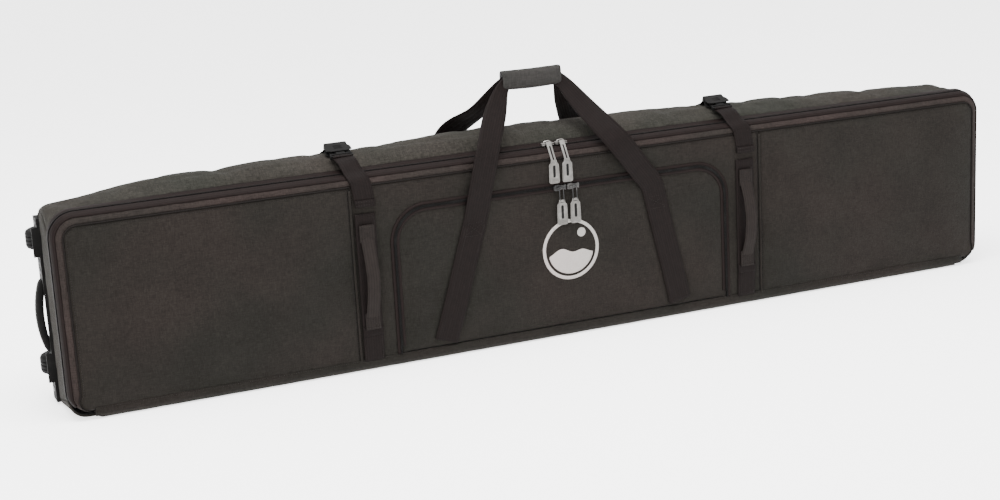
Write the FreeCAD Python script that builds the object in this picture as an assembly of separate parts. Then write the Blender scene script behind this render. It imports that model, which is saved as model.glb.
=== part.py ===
import FreeCAD, Part
import math
import os

os.makedirs("parts", exist_ok=True)
V = FreeCAD.Vector

# A wheeled ski bag standing on its long narrow side. Millimetres.
# X runs along the bag with the wheels at -X, the lid faces -Y, +Z is up.
# The origin is the middle of the underside.

# The bag's shell
half_length = 975.0          # outer face of each end panel
half_depth = 78.0            # lid face at -78, back panel at +78
wall = 5.0                   # laminated fabric and foam
back_top = 352.0             # seam between the back panel and the crowned top
panel_top = 356.0            # top seam of the lid's flat panels
crown_x, crown_top = -150.0, 415.0
crown_fall_left, crown_fall_right = 5.2e-5, 2.6e-5
ledge_back, ledge_top = -45.0, 377.0

# The lid: a shallow tray hinged along the bottom front edge
part_line = -56.0            # the zip's plane between the lid and the body
zip_top = 376.0
hinge_y, hinge_z = -77.0, 16.0
lid_bottom = 18.2
rim_radius = 20.0
corner_radius = 45.0
seam_x = 433.0               # piped seams between the lid's three panels

# Pocket in the lid's middle panel
pocket_half, pocket_bottom, pocket_top, pocket_corner = 352.0, 22.0, 302.0, 65.0
pouch_back = -44.0
flap_gap = 1.5
tape = 1.5

# Webbing and its hardware
strap_x = {"left": -407.0, "right": 397.0}
strap_width, webbing = 40.0, 2.0
strap_gap = 7.0              # rear straps stand off the back panel, over its piping
carry_width = 48.0
strap_sewn_top = 320.0
carry_foot, carry_sewn_top = 34.0, 258.0
buckle_shift, buckle_tilt = -20.0, 20.0      # the closing straps lean to the wheel end over the crown
emblem_height, emblem_radius = 176.0, 60.0
grip_left, grip_right, grip_bottom, grip_top = -88.0, 38.0, 485.0, 527.0

# Wheels at the back corner of the wheel end, turning about upright axles
wheel_centre_x, wheel_centre_y = -967.0, 82.0
wheel_radius, wheel_width = 30.0, 36.0
wheel_heights = {"upper": 307.0, "lower": 71.0}
hub_radius, bearing_radius, bearing_width = 20.0, 11.0, 7.0
axle_radius, axle_clearance = 4.0, 0.05
head_radius = 7.0
well_half = 20.0
ear, lug_radius = 6.0, 12.5

nodes = {}


def box(x0, x1, y0, y1, z0, z1):
    return Part.makeBox(x1 - x0, y1 - y0, z1 - z0, V(x0, y0, z0))


def rod(x, y, z, radius, length, axis):
    return Part.makeCylinder(radius, length, V(x, y, z), axis)


def arc(a, b, c):
    return Part.Arc(a, b, c).toShape()


def slab(edges, travel):
    """A closed outline pulled along a vector."""
    return Part.Face(Part.Wire(edges)).extrude(travel)


def arch(half, z0, z1, radius, y0, y1):
    """An upright plate with a square foot and two rounded top corners."""
    turn = radius * (1 - math.sqrt(0.5))
    corner = [V(-half, y0, z0), V(half, y0, z0), V(half, y0, z1 - radius), V(half - radius, y0, z1),
              V(radius - half, y0, z1), V(-half, y0, z1 - radius)]
    edges = [Part.makeLine(corner[0], corner[1]), Part.makeLine(corner[1], corner[2]),
             arc(corner[2], V(half - turn, y0, z1 - turn), corner[3]),
             Part.makeLine(corner[3], corner[4]),
             arc(corner[4], V(turn - half, y0, z1 - turn), corner[5]),
             Part.makeLine(corner[5], corner[0])]
    return slab(edges, V(0, y1 - y0, 0))


def strap(path, widths, thickness):
    """Flat webbing through path, a list of (point, outward normal)."""
    wires = []
    for i, (point, normal) in enumerate(path):
        before = path[max(i - 1, 0)][0]
        after = path[min(i + 1, len(path) - 1)][0]
        along = (after - before).normalize()
        across = along.cross(normal).normalize() * (widths[i] / 2)
        out = across.cross(along).normalize() * (thickness / 2)
        if out.dot(normal) < 0:
            out = out * -1
        loop = [point + across + out, point - across + out, point - across - out, point + across - out]
        wires.append(Part.makePolygon(loop + loop[:1]))
    return Part.makeLoft(wires, True, True)


def crown(x):
    fall = crown_fall_left if x < crown_x else crown_fall_right
    return crown_top - fall * (x - crown_x) ** 2


def crown_arc(x, inset=0.0):
    """The three points of the crowned top's cross-section at x."""
    return (V(x, ledge_back, ledge_top - inset), V(x, 8, crown(x) - inset),
            V(x, half_depth - inset, back_top))


def over_crown(x, y, gap):
    """The point above the crowned top at x, y, gap away from its outer face, and the way out there."""
    curve = arc(*crown_arc(x)).Curve
    centre, radius = curve.Center, curve.Radius
    out = V(0, y - centre.y, math.sqrt(radius ** 2 - (y - centre.y) ** 2)) * (1 / radius)
    return centre + out * (radius + gap), out


def crowned_section(x):
    outer, inner = crown_arc(x), crown_arc(x, wall)
    front = V(x, part_line + 1, zip_top)
    front_inner = front - V(0, 0, wall)
    return Part.Wire([Part.makeLine(front, outer[0]), arc(*outer), Part.makeLine(outer[2], inner[2]),
                      arc(inner[2], inner[1], inner[0]), Part.makeLine(inner[0], front_inner),
                      Part.makeLine(front_inner, front)])


def end_panel(x, back_corner):
    """Upright end wall at x, under the crowned top; back_corner lists its lower rear points."""
    inner = crown_arc(x, wall)
    front = V(x, part_line + 1, zip_top - wall)
    foot = V(x, part_line + 1, wall)
    points = [front, foot] + back_corner + [inner[2]]
    edges = [Part.makeLine(a, b) for a, b in zip(points, points[1:])]
    edges += [arc(inner[2], inner[1], inner[0]), Part.makeLine(inner[0], front)]
    return edges


def bag_shell():
    turn = 4.4
    outline = [V(-half_length, half_depth, 0), V(-half_length, -62, 0)]
    lip = V(-half_length, -half_depth, 13.4)
    lip_inner = V(-half_length, wall - half_depth, 13.4)
    heel = V(-half_length, -62, wall)
    back = V(-half_length, half_depth, wall)
    edges = [Part.makeLine(outline[0], outline[1]),
             arc(outline[1], V(-half_length, turn - half_depth, turn), lip),
             Part.makeLine(lip, lip_inner), arc(lip_inner, V(-half_length, -69.2, 7.6), heel),
             Part.makeLine(heel, back), Part.makeLine(back, outline[0])]
    nodes["bottom_gusset"] = slab(edges, V(2 * half_length, 0, 0))

    stations = [-half_length, -700, -400, crown_x, 200, 600, half_length]
    nodes["top_gusset"] = Part.makeLoft([crowned_section(x) for x in stations], True, False)

    x = -half_length
    rear = [V(x, 43.8, wall), V(x, 43.8, 350.4), V(x, half_depth - wall, 350.4)]
    nodes["wheel_end_panel"] = slab(end_panel(x, rear), V(wall, 0, 0))
    x = half_length
    rear = [V(x, half_depth - wall, wall)]
    nodes["tow_end_panel"] = slab(end_panel(x, rear), V(-wall, 0, 0))

    nodes["back_panel"] = box(-924.8, half_length, half_depth - wall, half_depth, wall, back_top)
    nodes["back_board"] = box(-920, 960, 70.6, 72.8, 14, 340)
    stays = [rod(-900, 66, z, 4, 1850, V(1, 0, 0)) for z in (70, 290)]
    nodes["stiffener_stays"] = Part.makeCompound(stays)
    radius = 2.4
    pipes = [rod(-920, half_depth + radius + 0.3, z, radius, 1890, V(1, 0, 0)) for z in (7, back_top - 3)]
    pipes.append(rod(972, half_depth + radius + 0.3, 12, radius, back_top - 20, V(0, 0, 1)))
    nodes["edge_piping"] = Part.makeCompound(pipes)


def body_zip():
    y0, y1 = part_line + 1, part_line + 8
    top = box(-925, 925, y0, y1, ledge_top + 0.2, ledge_top + 0.2 + tape)
    side = half_length + 0.2
    left = box(-side - tape, -side, y0, y1, lid_bottom, 325)
    right = box(side, side + tape, y0, y1, lid_bottom, 325)
    nodes["body_zip"] = Part.makeCompound([top, left, right])


def tray(half, top, front, edge_radius, corner):
    """A plate from the front face to the zip's plane, rounded round three sides of its front edge."""
    back = part_line - 1
    plate = arch(half, lid_bottom, top, corner, front, back)
    rounded = []
    for edge in plate.Edges:
        ends = [v.Point for v in edge.Vertexes]
        on_front = all(abs(p.y - front) < 0.01 for p in ends)
        on_foot = all(abs(p.z - lid_bottom) < 0.01 for p in ends)
        if on_front and not on_foot:
            rounded.append(edge)
    return plate.makeFillet(edge_radius, rounded)


def lid():
    front, back = -half_depth, part_line - 1
    outer = tray(half_length, zip_top, front, rim_radius, corner_radius)
    inner = tray(half_length - wall, zip_top - wall, front + wall, rim_radius - wall, corner_radius - wall)
    window = arch(half_length - rim_radius + 1, lid_bottom, zip_top - rim_radius + 1,
                  corner_radius - rim_radius, front - 1, back)
    nodes["lid_gusset"] = outer.cut(inner).cut(window)

    face = arch(half_length - rim_radius + 0.8, lid_bottom, zip_top - rim_radius + 0.8,
                corner_radius - rim_radius, front, front + wall)
    hole = arch(pocket_half, pocket_bottom, pocket_top, pocket_corner, front - 1, front + wall + 1)
    spans = {"left": (-half_length, -seam_x - 0.1), "centre": (-seam_x, seam_x),
             "right": (seam_x + 0.1, half_length)}
    for side, (x0, x1) in spans.items():
        panel = face.common(box(x0, x1, front, front + wall, 0, zip_top))
        nodes["lid_panel_" + side] = panel.cut(hole) if side == "centre" else panel

    nodes["lid_piping"] = Part.makeCompound(
        [rod(x, front - 2.3, lid_bottom + 2, 2, panel_top - 24, V(0, 0, 1)) for x in (-seam_x, seam_x)])
    nodes["hinge_piping"] = rod(1 - half_length, hinge_y, hinge_z, 1.8, 2 * half_length - 2, V(1, 0, 0))

    y0, y1 = part_line - 8, part_line - 1.2
    top = box(-925, 925, y0, y1, zip_top + 0.1, zip_top + 0.1 + tape)
    side = half_length + 0.1
    left = box(-side - tape, -side, y0, y1, lid_bottom, 325)
    right = box(side, side + tape, y0, y1, lid_bottom, 325)
    nodes["lid_zip"] = Part.makeCompound([top, left, right])


def pocket():
    front = -half_depth
    skin = 1.6
    reach = pocket_half + 8
    pouch = box(-reach, reach, front + wall + 0.2, pouch_back, pocket_bottom - 3, pocket_top + 6)
    hollow = box(-reach + skin, reach - skin, front, pouch_back - skin,
                 pocket_bottom - 3 + skin, pocket_top + 6 - skin)
    nodes["pocket_pouch"] = pouch.cut(hollow)

    foot = pocket_bottom + 2
    flap_half, flap_top = pocket_half - flap_gap, pocket_top - flap_gap
    nodes["pocket_flap"] = arch(flap_half, foot, flap_top, pocket_corner - flap_gap, front, front + 4)

    y0, y1 = front - 0.1 - tape, front - 0.1
    band = 8.0
    outer = arch(pocket_half + band, pocket_bottom, pocket_top + band, pocket_corner + band, y0, y1)
    hole = arch(pocket_half + 0.4, 0, pocket_top + 0.4, pocket_corner, y0 - 1, y1 + 1)
    nodes["pocket_zip_lid"] = outer.cut(hole)
    outer = arch(flap_half - 0.4, foot, flap_top - 0.4, pocket_corner - flap_gap, y0, y1)
    hole = arch(flap_half - band, 0, flap_top - band, pocket_corner - band, y0 - 1, y1 + 1)
    nodes["pocket_zip_flap"] = outer.cut(hole)
    nodes["emblem"] = rod(5, front - 0.1, emblem_height, emblem_radius, 1.2, V(0, -1, 0))


def slider(name, x, y, z, out):
    """A zip slider's body: a rounded block with a bridge for its pull, out away from the tape."""
    length, width, rise = 26.0, 12.0, 5.0
    if out.y < 0:
        block = box(x - length / 2, x + length / 2, y - rise, y, z - width / 2, z + width / 2)
        bridge = box(x - 7, x + 7, y - rise - 4, y - rise, z - 3, z + 3)
        core = box(x - 8, x + 8, y - rise - 2.4, y - rise, z - 1.6, z + 1.6)
    else:
        block = box(x - length / 2, x + length / 2, y - width / 2, y + width / 2, z, z + rise)
        bridge = box(x - 7, x + 7, y - 3, y + 3, z + rise, z + rise + 4)
        core = box(x - 8, x + 8, y - 1.6, y + 1.6, z + rise, z + rise + 2.4)
    nodes[name] = block.fuse(bridge).cut(core)


def zip_hardware():
    link_width, tab_width, tab_length = 10.0, 22.0, 47.0
    for side, x in (("left", -22.0), ("right", 6.0)):
        slider("main_slider_" + side, x, part_line, ledge_top + 2.8, V(0, 0, 1))
        top = V(x, part_line - 7.5, ledge_top + 9.5)
        knee = V(x, -half_depth - 5, panel_top)
        foot = V(x, -half_depth - 5, panel_top - tab_length)
        out = V(0, -1, 0)
        link = strap([(top, V(0, -1, 0.7)), (knee, out)], [link_width] * 2, 2.0)
        tab = strap([(knee, out), (foot, out)], [tab_width] * 2, 3.0)
        nodes["main_pull_" + side] = link.fuse(tab)
    for side, x in (("left", -12.0), ("right", 16.0)):
        y = -half_depth - 2.4
        slider("pocket_slider_" + side, x, y, pocket_top - 2, V(0, -1, 0))
        out = V(0, -1, 0)
        y = y - 9.0 - 1.8
        link = strap([(V(x, y, pocket_top), out), (V(x, y, pocket_top - 27), out)], [link_width] * 2, 2.0)
        foot = V(x, y, pocket_top - 27 - tab_length)
        tab = strap([(V(x, y, pocket_top - 27), out), (foot, out)], [tab_width] * 2, 3.0)
        nodes["pocket_pull_" + side] = link.fuse(tab)


def buckle_seat(x):
    """Where a buckle's middle sits on the front slope of the crown."""
    centre, _ = over_crown(x, -10.3, 1.6)
    return centre


def tilted(shape, x):
    """A buckle part drawn flat about the origin, tilted and set down on the crown."""
    shape.rotate(V(0, 0, 0), V(1, 0, 0), buckle_tilt)
    shape.translate(buckle_seat(x))
    return shape


def on_buckle(x, y, z):
    """A point given in the flat buckle's own place, as it lies once tilted."""
    turn = math.radians(buckle_tilt)
    y = y + 3.5
    return buckle_seat(x) + V(0, y * math.cos(turn) - z * math.sin(turn), y * math.sin(turn) + z * math.cos(turn))


def compression_straps():
    face = -half_depth - 0.2
    y = face - webbing / 2
    out = V(0, -1, 0)
    sewn, free, rear = [], [], []
    for x in strap_x.values():
        half = strap_width / 2
        sewn.append(box(x - half, x + half, face - webbing, face, lid_bottom + 1, strap_sewn_top))
        bend = rim_radius + 3.4
        middle_y, middle_z = rim_radius - half_depth, zip_top - rim_radius
        path = [(V(x, y - 0.2, strap_sewn_top + 0.2), out)]
        for turn in (0, 20, 40, 60):
            way = V(0, -math.cos(math.radians(turn)), math.sin(math.radians(turn)))
            path.append((V(x, middle_y, middle_z) + way * bend, way))
        over = x + buckle_shift
        path += [(on_buckle(over, y_local, 5.0), V(0, -0.5, 1)) for y_local in (-42, -28.5)]
        free.append(strap(path, [strap_width - 2] * len(path), webbing))
        path = [over_crown(over, y_back, gap)
                for y_back, gap in ((24, 2.4), (38, 2.4), (52, 2.4), (64, 3.4), (72, 5), (78, 7.4))]
        down = half_depth + strap_gap
        path += [(V(over, down, back_top - 6), V(0, 1, 0)), (V(over, down, 12), V(0, 1, 0))]
        rear.append(strap(path, [strap_width - 2] * len(path), webbing))
    nodes["compression_webbing"] = Part.makeCompound(sewn)
    nodes["front_straps"] = Part.makeCompound(free)
    nodes["rear_straps"] = Part.makeCompound(rear)

    for side, x in strap_x.items():
        y_root = face - webbing - 0.1
        outer = [V(x - 13, y_root, 262), V(x - 13, -110, 180), V(x - 13, y_root, 98)]
        inner = [V(x - 13, y_root, 112), V(x - 13, -101, 180), V(x - 13, y_root, 248)]
        edges = [arc(*outer), Part.makeLine(outer[2], inner[0]), arc(*inner),
                 Part.makeLine(inner[2], outer[0])]
        nodes["grab_grip_" + side] = slab(edges, V(26, 0, 0))


def buckles():
    """Side-release buckles on the crown; the socket stays on the body and the plug leaves with the lid."""
    mouth, back = -8.5, 23.5
    depth = 11.0
    for side, strap_middle in strap_x.items():
        x = strap_middle + buckle_shift
        socket = box(-25, 25, mouth, back, 0, 10.5)
        cavity = box(-23, 23, mouth - 1, mouth + depth, 1.6, 8.9)
        slot = box(-20, 20, 16.5, 20, -1, 12)
        nodes["buckle_socket_" + side] = tilted(socket.cut(cavity).cut(slot), x)
        base = box(-22, 22, -23.5, mouth - 0.6, 1, 9)
        slot = box(-19.5, 19.5, -21, -18, 0, 10)
        tongue = box(-7, 7, mouth - 0.7, mouth + 8.5, 2.2, 6.2)
        pockets = [box(c - 5.5, c + 5.5, -14, mouth, 0, 10) for c in (-15, 15)]
        plug = base.cut(slot).fuse(tongue)
        for cut in pockets:
            plug = plug.cut(cut)
        nodes["buckle_plug_" + side] = tilted(plug, x)
        for end, c in (("outer", -15.5), ("inner", 15.5)):
            arm = box(c - 3, c + 3, -13.5, mouth + 8.5, 2.2, 6.0)
            nodes["buckle_prong_%s_%s" % (side, end)] = tilted(arm, x)


def sewn_leg(x_foot, x_top, y, normal):
    path = [(V(x_foot, y, carry_foot), normal), (V(x_top, y, carry_sewn_top), normal)]
    return strap(path, [carry_width] * 2, webbing)


def carry_handles():
    y = half_depth + 0.3 + webbing / 2
    front, back = V(0, -1, 0), V(0, 1, 0)
    nodes["carry_webbing"] = Part.makeCompound(
        [sewn_leg(-262, -190, -y, front), sewn_leg(243, 192, -y, front)])
    nodes["rear_carry_webbing"] = Part.makeCompound(
        [sewn_leg(-262, -200, y, back), sewn_leg(243, 180, y, back)])

    middle = (grip_bottom + grip_top) / 2 - 2
    folded = 26.0
    widths = [carry_width] * 2 + [44] + [folded] * 4 + [44] + [carry_width] * 3
    y = half_depth + 4.2
    out, lean = V(0, -1, 0), V(0, -0.87, 0.5)
    points = [(-189, -y, 259, out), (-163, -93, 378, out), (-117, -34, 448, lean),
              (-84, -6, middle - 9, out), (-58, -6, middle, out), (8, -6, middle, out),
              (34, -6, middle - 9, out), (66, -34, 448, lean), (112, -93, 378, out),
              (186, -85.2, 284, out), (191, -y, 259, out)]
    nodes["front_handle"] = strap([(V(*p[:3]), p[3]) for p in points], widths, webbing)

    out, lean = V(0, 1, 0), V(0, 0.8, 0.6)
    points = [(-199, y, 259, out), (-178, 91, 384, out), (-122, 38, 446, lean),
              (-84, 6, middle - 9, out), (-58, 6, middle, out), (8, 6, middle, out),
              (34, 6, middle - 9, out), (64, 38, 446, lean), (104, 91, 384, out),
              (175, 85.4, 284, out), (179, y, 259, out)]
    nodes["rear_handle"] = strap([(V(*p[:3]), p[3]) for p in points], widths, webbing)

    shell = box(grip_left + 24, grip_right - 24, -9, 11, grip_bottom, grip_top)
    hollow = box(grip_left, grip_right, -20, 8, grip_bottom + 3, grip_top - 3)
    nodes["grip_wrap"] = shell.cut(hollow)


def wheel_end():
    y0, y1 = 44.0, 80.0
    x0, x1 = -980.0, -925.0
    carrier = box(x0, x1, y0, y1, wall + 0.2, 350)
    for z in wheel_heights.values():
        fender = box(x0 - 10, x0, y0, y0 + 5, z - 27, z + 27)
        carrier = carrier.fuse(fender)
        for low in (z - well_half - ear, z + well_half):
            lug = box(wheel_centre_x - lug_radius, wheel_centre_x + lug_radius, y1 - 1, wheel_centre_y,
                      low, low + ear)
            tip = rod(wheel_centre_x, wheel_centre_y, low, lug_radius, ear, V(0, 0, 1))
            carrier = carrier.fuse(lug).fuse(tip)
    for z in wheel_heights.values():
        carrier = carrier.cut(box(x0 - 30, -933, y0 + 5, 140, z - well_half, z + well_half))
        hole = rod(wheel_centre_x, wheel_centre_y, z - 30, axle_radius, 60, V(0, 0, 1))
        carrier = carrier.cut(hole)
        for low in (z - well_half - ear - 4, z + well_half + ear):
            carrier = carrier.cut(rod(wheel_centre_x, wheel_centre_y, low, head_radius + 0.5, 4, V(0, 0, 1)))
    recess_low, recess_high = 105.0, 228.0
    carrier = carrier.cut(box(x0 - 20, -950, y0 + 6, 140, recess_low, recess_high))
    for low, high in ((10, 44), (238, 280), (334, 346)):
        carrier = carrier.cut(box(x0 + 4, x1 + 1, y0 + 4, y1 - 4, low, high))
    nodes["wheel_carrier"] = carrier.removeSplitter()

    axles = []
    for name, z in wheel_heights.items():
        at = (wheel_centre_x, wheel_centre_y)
        reach = well_half + ear
        pin = rod(*at, z - reach, axle_radius, 2 * reach, V(0, 0, 1))
        for low in (z - reach - 3, z + reach):
            pin = pin.fuse(rod(*at, low, head_radius, 3, V(0, 0, 1)))
        axles.append(pin)
        low = z - wheel_width / 2
        tyre = rod(*at, low, wheel_radius, wheel_width, V(0, 0, 1))
        rims = [e for e in tyre.Edges if e.Closed and abs(e.Curve.Radius - wheel_radius) < 0.01]
        tyre = tyre.makeFillet(10, rims).cut(rod(*at, low - 1, hub_radius, wheel_width + 2, V(0, 0, 1)))
        nodes["tyre_" + name] = tyre
        hub = rod(*at, low, hub_radius, wheel_width, V(0, 0, 1))
        hub = hub.cut(rod(*at, low - 1, axle_radius + 3, wheel_width + 2, V(0, 0, 1)))
        rings = []
        for seat in (low, low + wheel_width - bearing_width):
            hub = hub.cut(rod(*at, seat, bearing_radius, bearing_width, V(0, 0, 1)))
            ring = rod(*at, seat, bearing_radius, bearing_width, V(0, 0, 1))
            bore = rod(*at, seat, axle_radius + axle_clearance, bearing_width, V(0, 0, 1))
            rings.append(ring.cut(bore))
        nodes["hub_" + name] = hub
        nodes["bearings_" + name] = Part.makeCompound(rings)
    nodes["wheel_axles"] = Part.makeCompound(axles)

    screws = [rod(x0 - 1.8, 64, z, 4.5, 1.8, V(1, 0, 0)) for z in (26, 250, 268, 340)]
    screws += [rod(x, y1, z, 4.5, 1.8, V(0, 1, 0)) for x in (-970, -936) for z in (26, 258, 341)]
    nodes["carrier_screws"] = Part.makeCompound(screws)

    y = 54.0
    outer = [V(x0, y, 240), V(x0 - 17, y, 166), V(x0, y, 92)]
    inner = [V(x0, y, 103), V(x0 - 5, y, 166), V(x0, y, 229)]
    edges = [arc(*outer), Part.makeLine(outer[2], inner[0]), arc(*inner), Part.makeLine(inner[2], outer[0])]
    nodes["end_handle"] = slab(edges, V(0, 24, 0))


def tow_end():
    x, y = half_length + 0.2, -19.0
    outer = [V(x, y, 262), V(x + 30, y, 190), V(x, y, 118)]
    inner = [V(x, y, 126), V(x + 26, y, 190), V(x, y, 254)]
    edges = [arc(*outer), Part.makeLine(outer[2], inner[0]), arc(*inner), Part.makeLine(inner[2], outer[0])]
    nodes["tow_handle"] = slab(edges, V(0, 38, 0))


def inner_ties():
    straps, clips = [], []
    for x in (-520.0, 520.0):
        straps.append(box(x - 12.5, x + 12.5, 59.6, 61.4, 30, 320))
        clips.append(box(x - 17, x + 17, 51.6, 59.4, 160, 200))
    nodes["tie_straps"] = Part.makeCompound(straps)
    nodes["tie_buckles"] = Part.makeCompound(clips)


bag_shell()
body_zip()
lid()
pocket()
zip_hardware()
compression_straps()
buckles()
carry_handles()
wheel_end()
tow_end()
inner_ties()

for name, shape in nodes.items():
    shape.exportStep("parts/%s.step" % name)
print(len(nodes), "nodes")
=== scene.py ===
import math

import bmesh
import bpy
import numpy as np
from mathutils import Matrix, Vector, noise
from mathutils.bvhtree import BVHTree
from mathutils.geometry import delaunay_2d_cdt


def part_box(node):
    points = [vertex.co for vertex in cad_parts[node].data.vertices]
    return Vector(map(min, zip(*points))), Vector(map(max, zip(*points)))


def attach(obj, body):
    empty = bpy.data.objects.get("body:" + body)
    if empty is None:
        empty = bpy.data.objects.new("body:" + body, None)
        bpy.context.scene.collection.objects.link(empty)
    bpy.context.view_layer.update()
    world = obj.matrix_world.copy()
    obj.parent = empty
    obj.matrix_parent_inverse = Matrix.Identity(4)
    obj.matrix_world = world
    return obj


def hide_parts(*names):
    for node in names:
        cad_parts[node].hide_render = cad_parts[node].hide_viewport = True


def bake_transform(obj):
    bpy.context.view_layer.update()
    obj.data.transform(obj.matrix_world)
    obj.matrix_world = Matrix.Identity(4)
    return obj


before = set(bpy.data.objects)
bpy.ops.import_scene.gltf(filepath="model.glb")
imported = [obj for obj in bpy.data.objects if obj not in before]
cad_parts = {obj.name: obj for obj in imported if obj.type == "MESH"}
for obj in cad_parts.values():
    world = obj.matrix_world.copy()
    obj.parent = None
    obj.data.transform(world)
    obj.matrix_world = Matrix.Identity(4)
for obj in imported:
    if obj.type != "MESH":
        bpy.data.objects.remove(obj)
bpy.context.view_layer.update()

# A wheeled ski bag. Lengths below are millimetres; meshes are built in metres.
mm = 0.001
bodyName = "bag_body"

# camera, light and floor
cameraSetup = {"lens": 65.34, "place": (-1.416, -3.190, 1.052), "yaw": 22.29, "pitch": 14.31, "roll": -3.15}
lightSetup = {"sky": 2.3, "over": 380.0, "front": 10.0, "floor": 0.8, "glow": 1.9}


# Sets data in the scene under its name.
def linked(name, data, materials=()):
    for material in materials:
        data.materials.append(material)
    piece = bpy.data.objects.new(name, data)
    bpy.context.scene.collection.objects.link(piece)
    return piece


def addCamera(setup):
    yaw, pitch, roll = (math.radians(setup[key]) for key in ("yaw", "pitch", "roll"))
    ahead = Vector((math.sin(yaw) * math.cos(pitch), math.cos(yaw) * math.cos(pitch), -math.sin(pitch)))
    level = Vector((math.cos(yaw), -math.sin(yaw), 0))
    upright = level.cross(ahead)
    right = level * math.cos(roll) + upright * math.sin(roll)
    up = upright * math.cos(roll) - level * math.sin(roll)
    data = bpy.data.cameras.new("camera")
    data.lens, data.sensor_width, data.clip_end = setup["lens"], 36, 200
    camera = linked("camera", data)
    turn = Matrix((right, up, -ahead)).transposed().to_4x4()
    camera.matrix_world = Matrix.Translation(setup["place"]) @ turn
    bpy.context.scene.camera = camera


def addSoftbox(name, place, aim, size, power):
    data = bpy.data.lights.new(name, "AREA")
    data.shape, data.size, data.size_y, data.energy = "RECTANGLE", size[0], size[1], power
    lamp = linked(name, data)
    lamp.location = place
    lamp.rotation_euler = (Vector(aim) - Vector(place)).to_track_quat("-Z", "Y").to_euler()


# shader helpers
def newTree(name, kind, inputs=(), outputs=()):
    tree = bpy.data.node_groups.new(name, kind)
    for side, sockets in (("INPUT", inputs), ("OUTPUT", outputs)):
        for label, socketKind, *value in sockets:
            socket = tree.interface.new_socket(label, in_out=side, socket_type="NodeSocket" + socketKind)
            if value:
                socket.default_value = value[0]
    return tree


# Adds nodes to a tree and joins them up.
class Wiring:
    def __init__(self, tree, prefix="ShaderNode"):
        self.tree, self.prefix = tree, prefix

    def add(self, kind, feeds=None, **settings):
        node = self.tree.nodes.new(kind if kind.startswith(("Node", "Function", "Shader"))
                                   else self.prefix + kind)
        for key, value in settings.items():
            setattr(node, key, value)
        for key, value in (feeds or {}).items():
            if isinstance(value, bpy.types.NodeSocket):
                self.tree.links.new(value, node.inputs[key])
            else:
                node.inputs[key].default_value = value
        return node

    def sum(self, operation, *values):
        return self.add("Math", dict(enumerate(values)), operation=operation).outputs[0]

    def mix(self, factor, a, b):
        return self.add("Mix", {0: factor, 6: a, 7: b}, data_type="RGBA").outputs[2]

    def group(self, tree, **values):
        node = self.add("Group", node_tree=tree)
        for key, value in values.items():
            if isinstance(value, bpy.types.NodeSocket):
                self.tree.links.new(value, node.inputs[key])
            else:
                node.inputs[key].default_value = value
        return node.outputs


def rgb(red, green, blue):
    return (red, green, blue, 1.0)


# Plain weave with flecked threads: colour, height and roughness from a vector in metres.
def wovenGroup():
    tree = newTree("wovenCloth", "ShaderNodeTree",
                   (("Place", "Vector"), ("Dark", "Color"), ("Light", "Color"),
                    ("Threads", "Float", 1100.0),
                    ("Fleck", "Float", 0.5), ("Blotch", "Float", 0.25)),
                   (("Color", "Color"), ("Height", "Float"), ("Roughness", "Float")))
    w = Wiring(tree)
    given = w.add("NodeGroupInput").outputs
    scaled = w.add("VectorMath", {0: given["Place"], "Scale": given["Threads"]},
                   operation="SCALE").outputs[0]
    part = w.add("SeparateXYZ", {0: scaled}).outputs
    column, row = w.sum("FLOOR", part[0]), w.sum("FLOOR", part[1])
    over = w.sum("PINGPONG", w.sum("ADD", column, row), 1.0)
    warp = w.sum("ABSOLUTE", w.sum("SINE", w.sum("MULTIPLY", part[0], math.pi)))
    weft = w.sum("ABSOLUTE", w.sum("SINE", w.sum("MULTIPLY", part[1], math.pi)))
    weave = w.add("Mix", {0: over, 2: warp, 3: weft}).outputs[0]
    flecks = []
    for stretch in ((1, 0.12, 1), (0.12, 1, 1)):
        thread = w.add("VectorMath", {0: scaled, 1: stretch}, operation="MULTIPLY").outputs[0]
        cell = w.add("VectorMath", {0: thread}, operation="FLOOR").outputs[0]
        flecks.append(w.add("TexWhiteNoise", {"Vector": cell}, noise_dimensions="3D").outputs[0])
    fleck = w.add("Mix", {0: over, 2: flecks[0], 3: flecks[1]}).outputs[0]
    slub = w.add("TexNoise", {"Vector": given["Place"], "Scale": 260.0, "Detail": 4.0,
                              "Roughness": 0.7}).outputs[0]
    cloud = w.add("TexNoise", {"Vector": given["Place"], "Scale": 9.0, "Detail": 3.0}).outputs[0]
    tone = w.sum("MULTIPLY_ADD", w.sum("SUBTRACT", w.sum("MULTIPLY", fleck, slub), 0.2), given["Fleck"],
                 0.4)
    tone = w.sum("ADD", tone, w.sum("MULTIPLY", w.sum("SUBTRACT", cloud, 0.5), given["Blotch"]))
    tone = w.add("Math", {0: tone, 1: 0.0}, operation="ADD", use_clamp=True).outputs[0]
    colour = w.mix(tone, given["Dark"], given["Light"])
    tide = w.add("TexNoise", {"Vector": given["Place"], "Scale": 3.4, "Detail": 2.0}).outputs[0]
    tide = w.add("MapRange", {0: tide, 1: 0.38, 2: 0.62}).outputs[0]
    colour = w.add("VectorMath", {0: colour, 1: w.mix(tide, rgb(1.10, 1.01, 0.99), rgb(0.84, 0.89, 0.84))},
                   operation="MULTIPLY").outputs[0]
    rough = w.add("MapRange", {0: tone, 3: 0.95, 4: 0.8}).outputs[0]
    w.add("NodeGroupOutput", {"Color": colour, "Height": weave, "Roughness": rough})
    return tree


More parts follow.
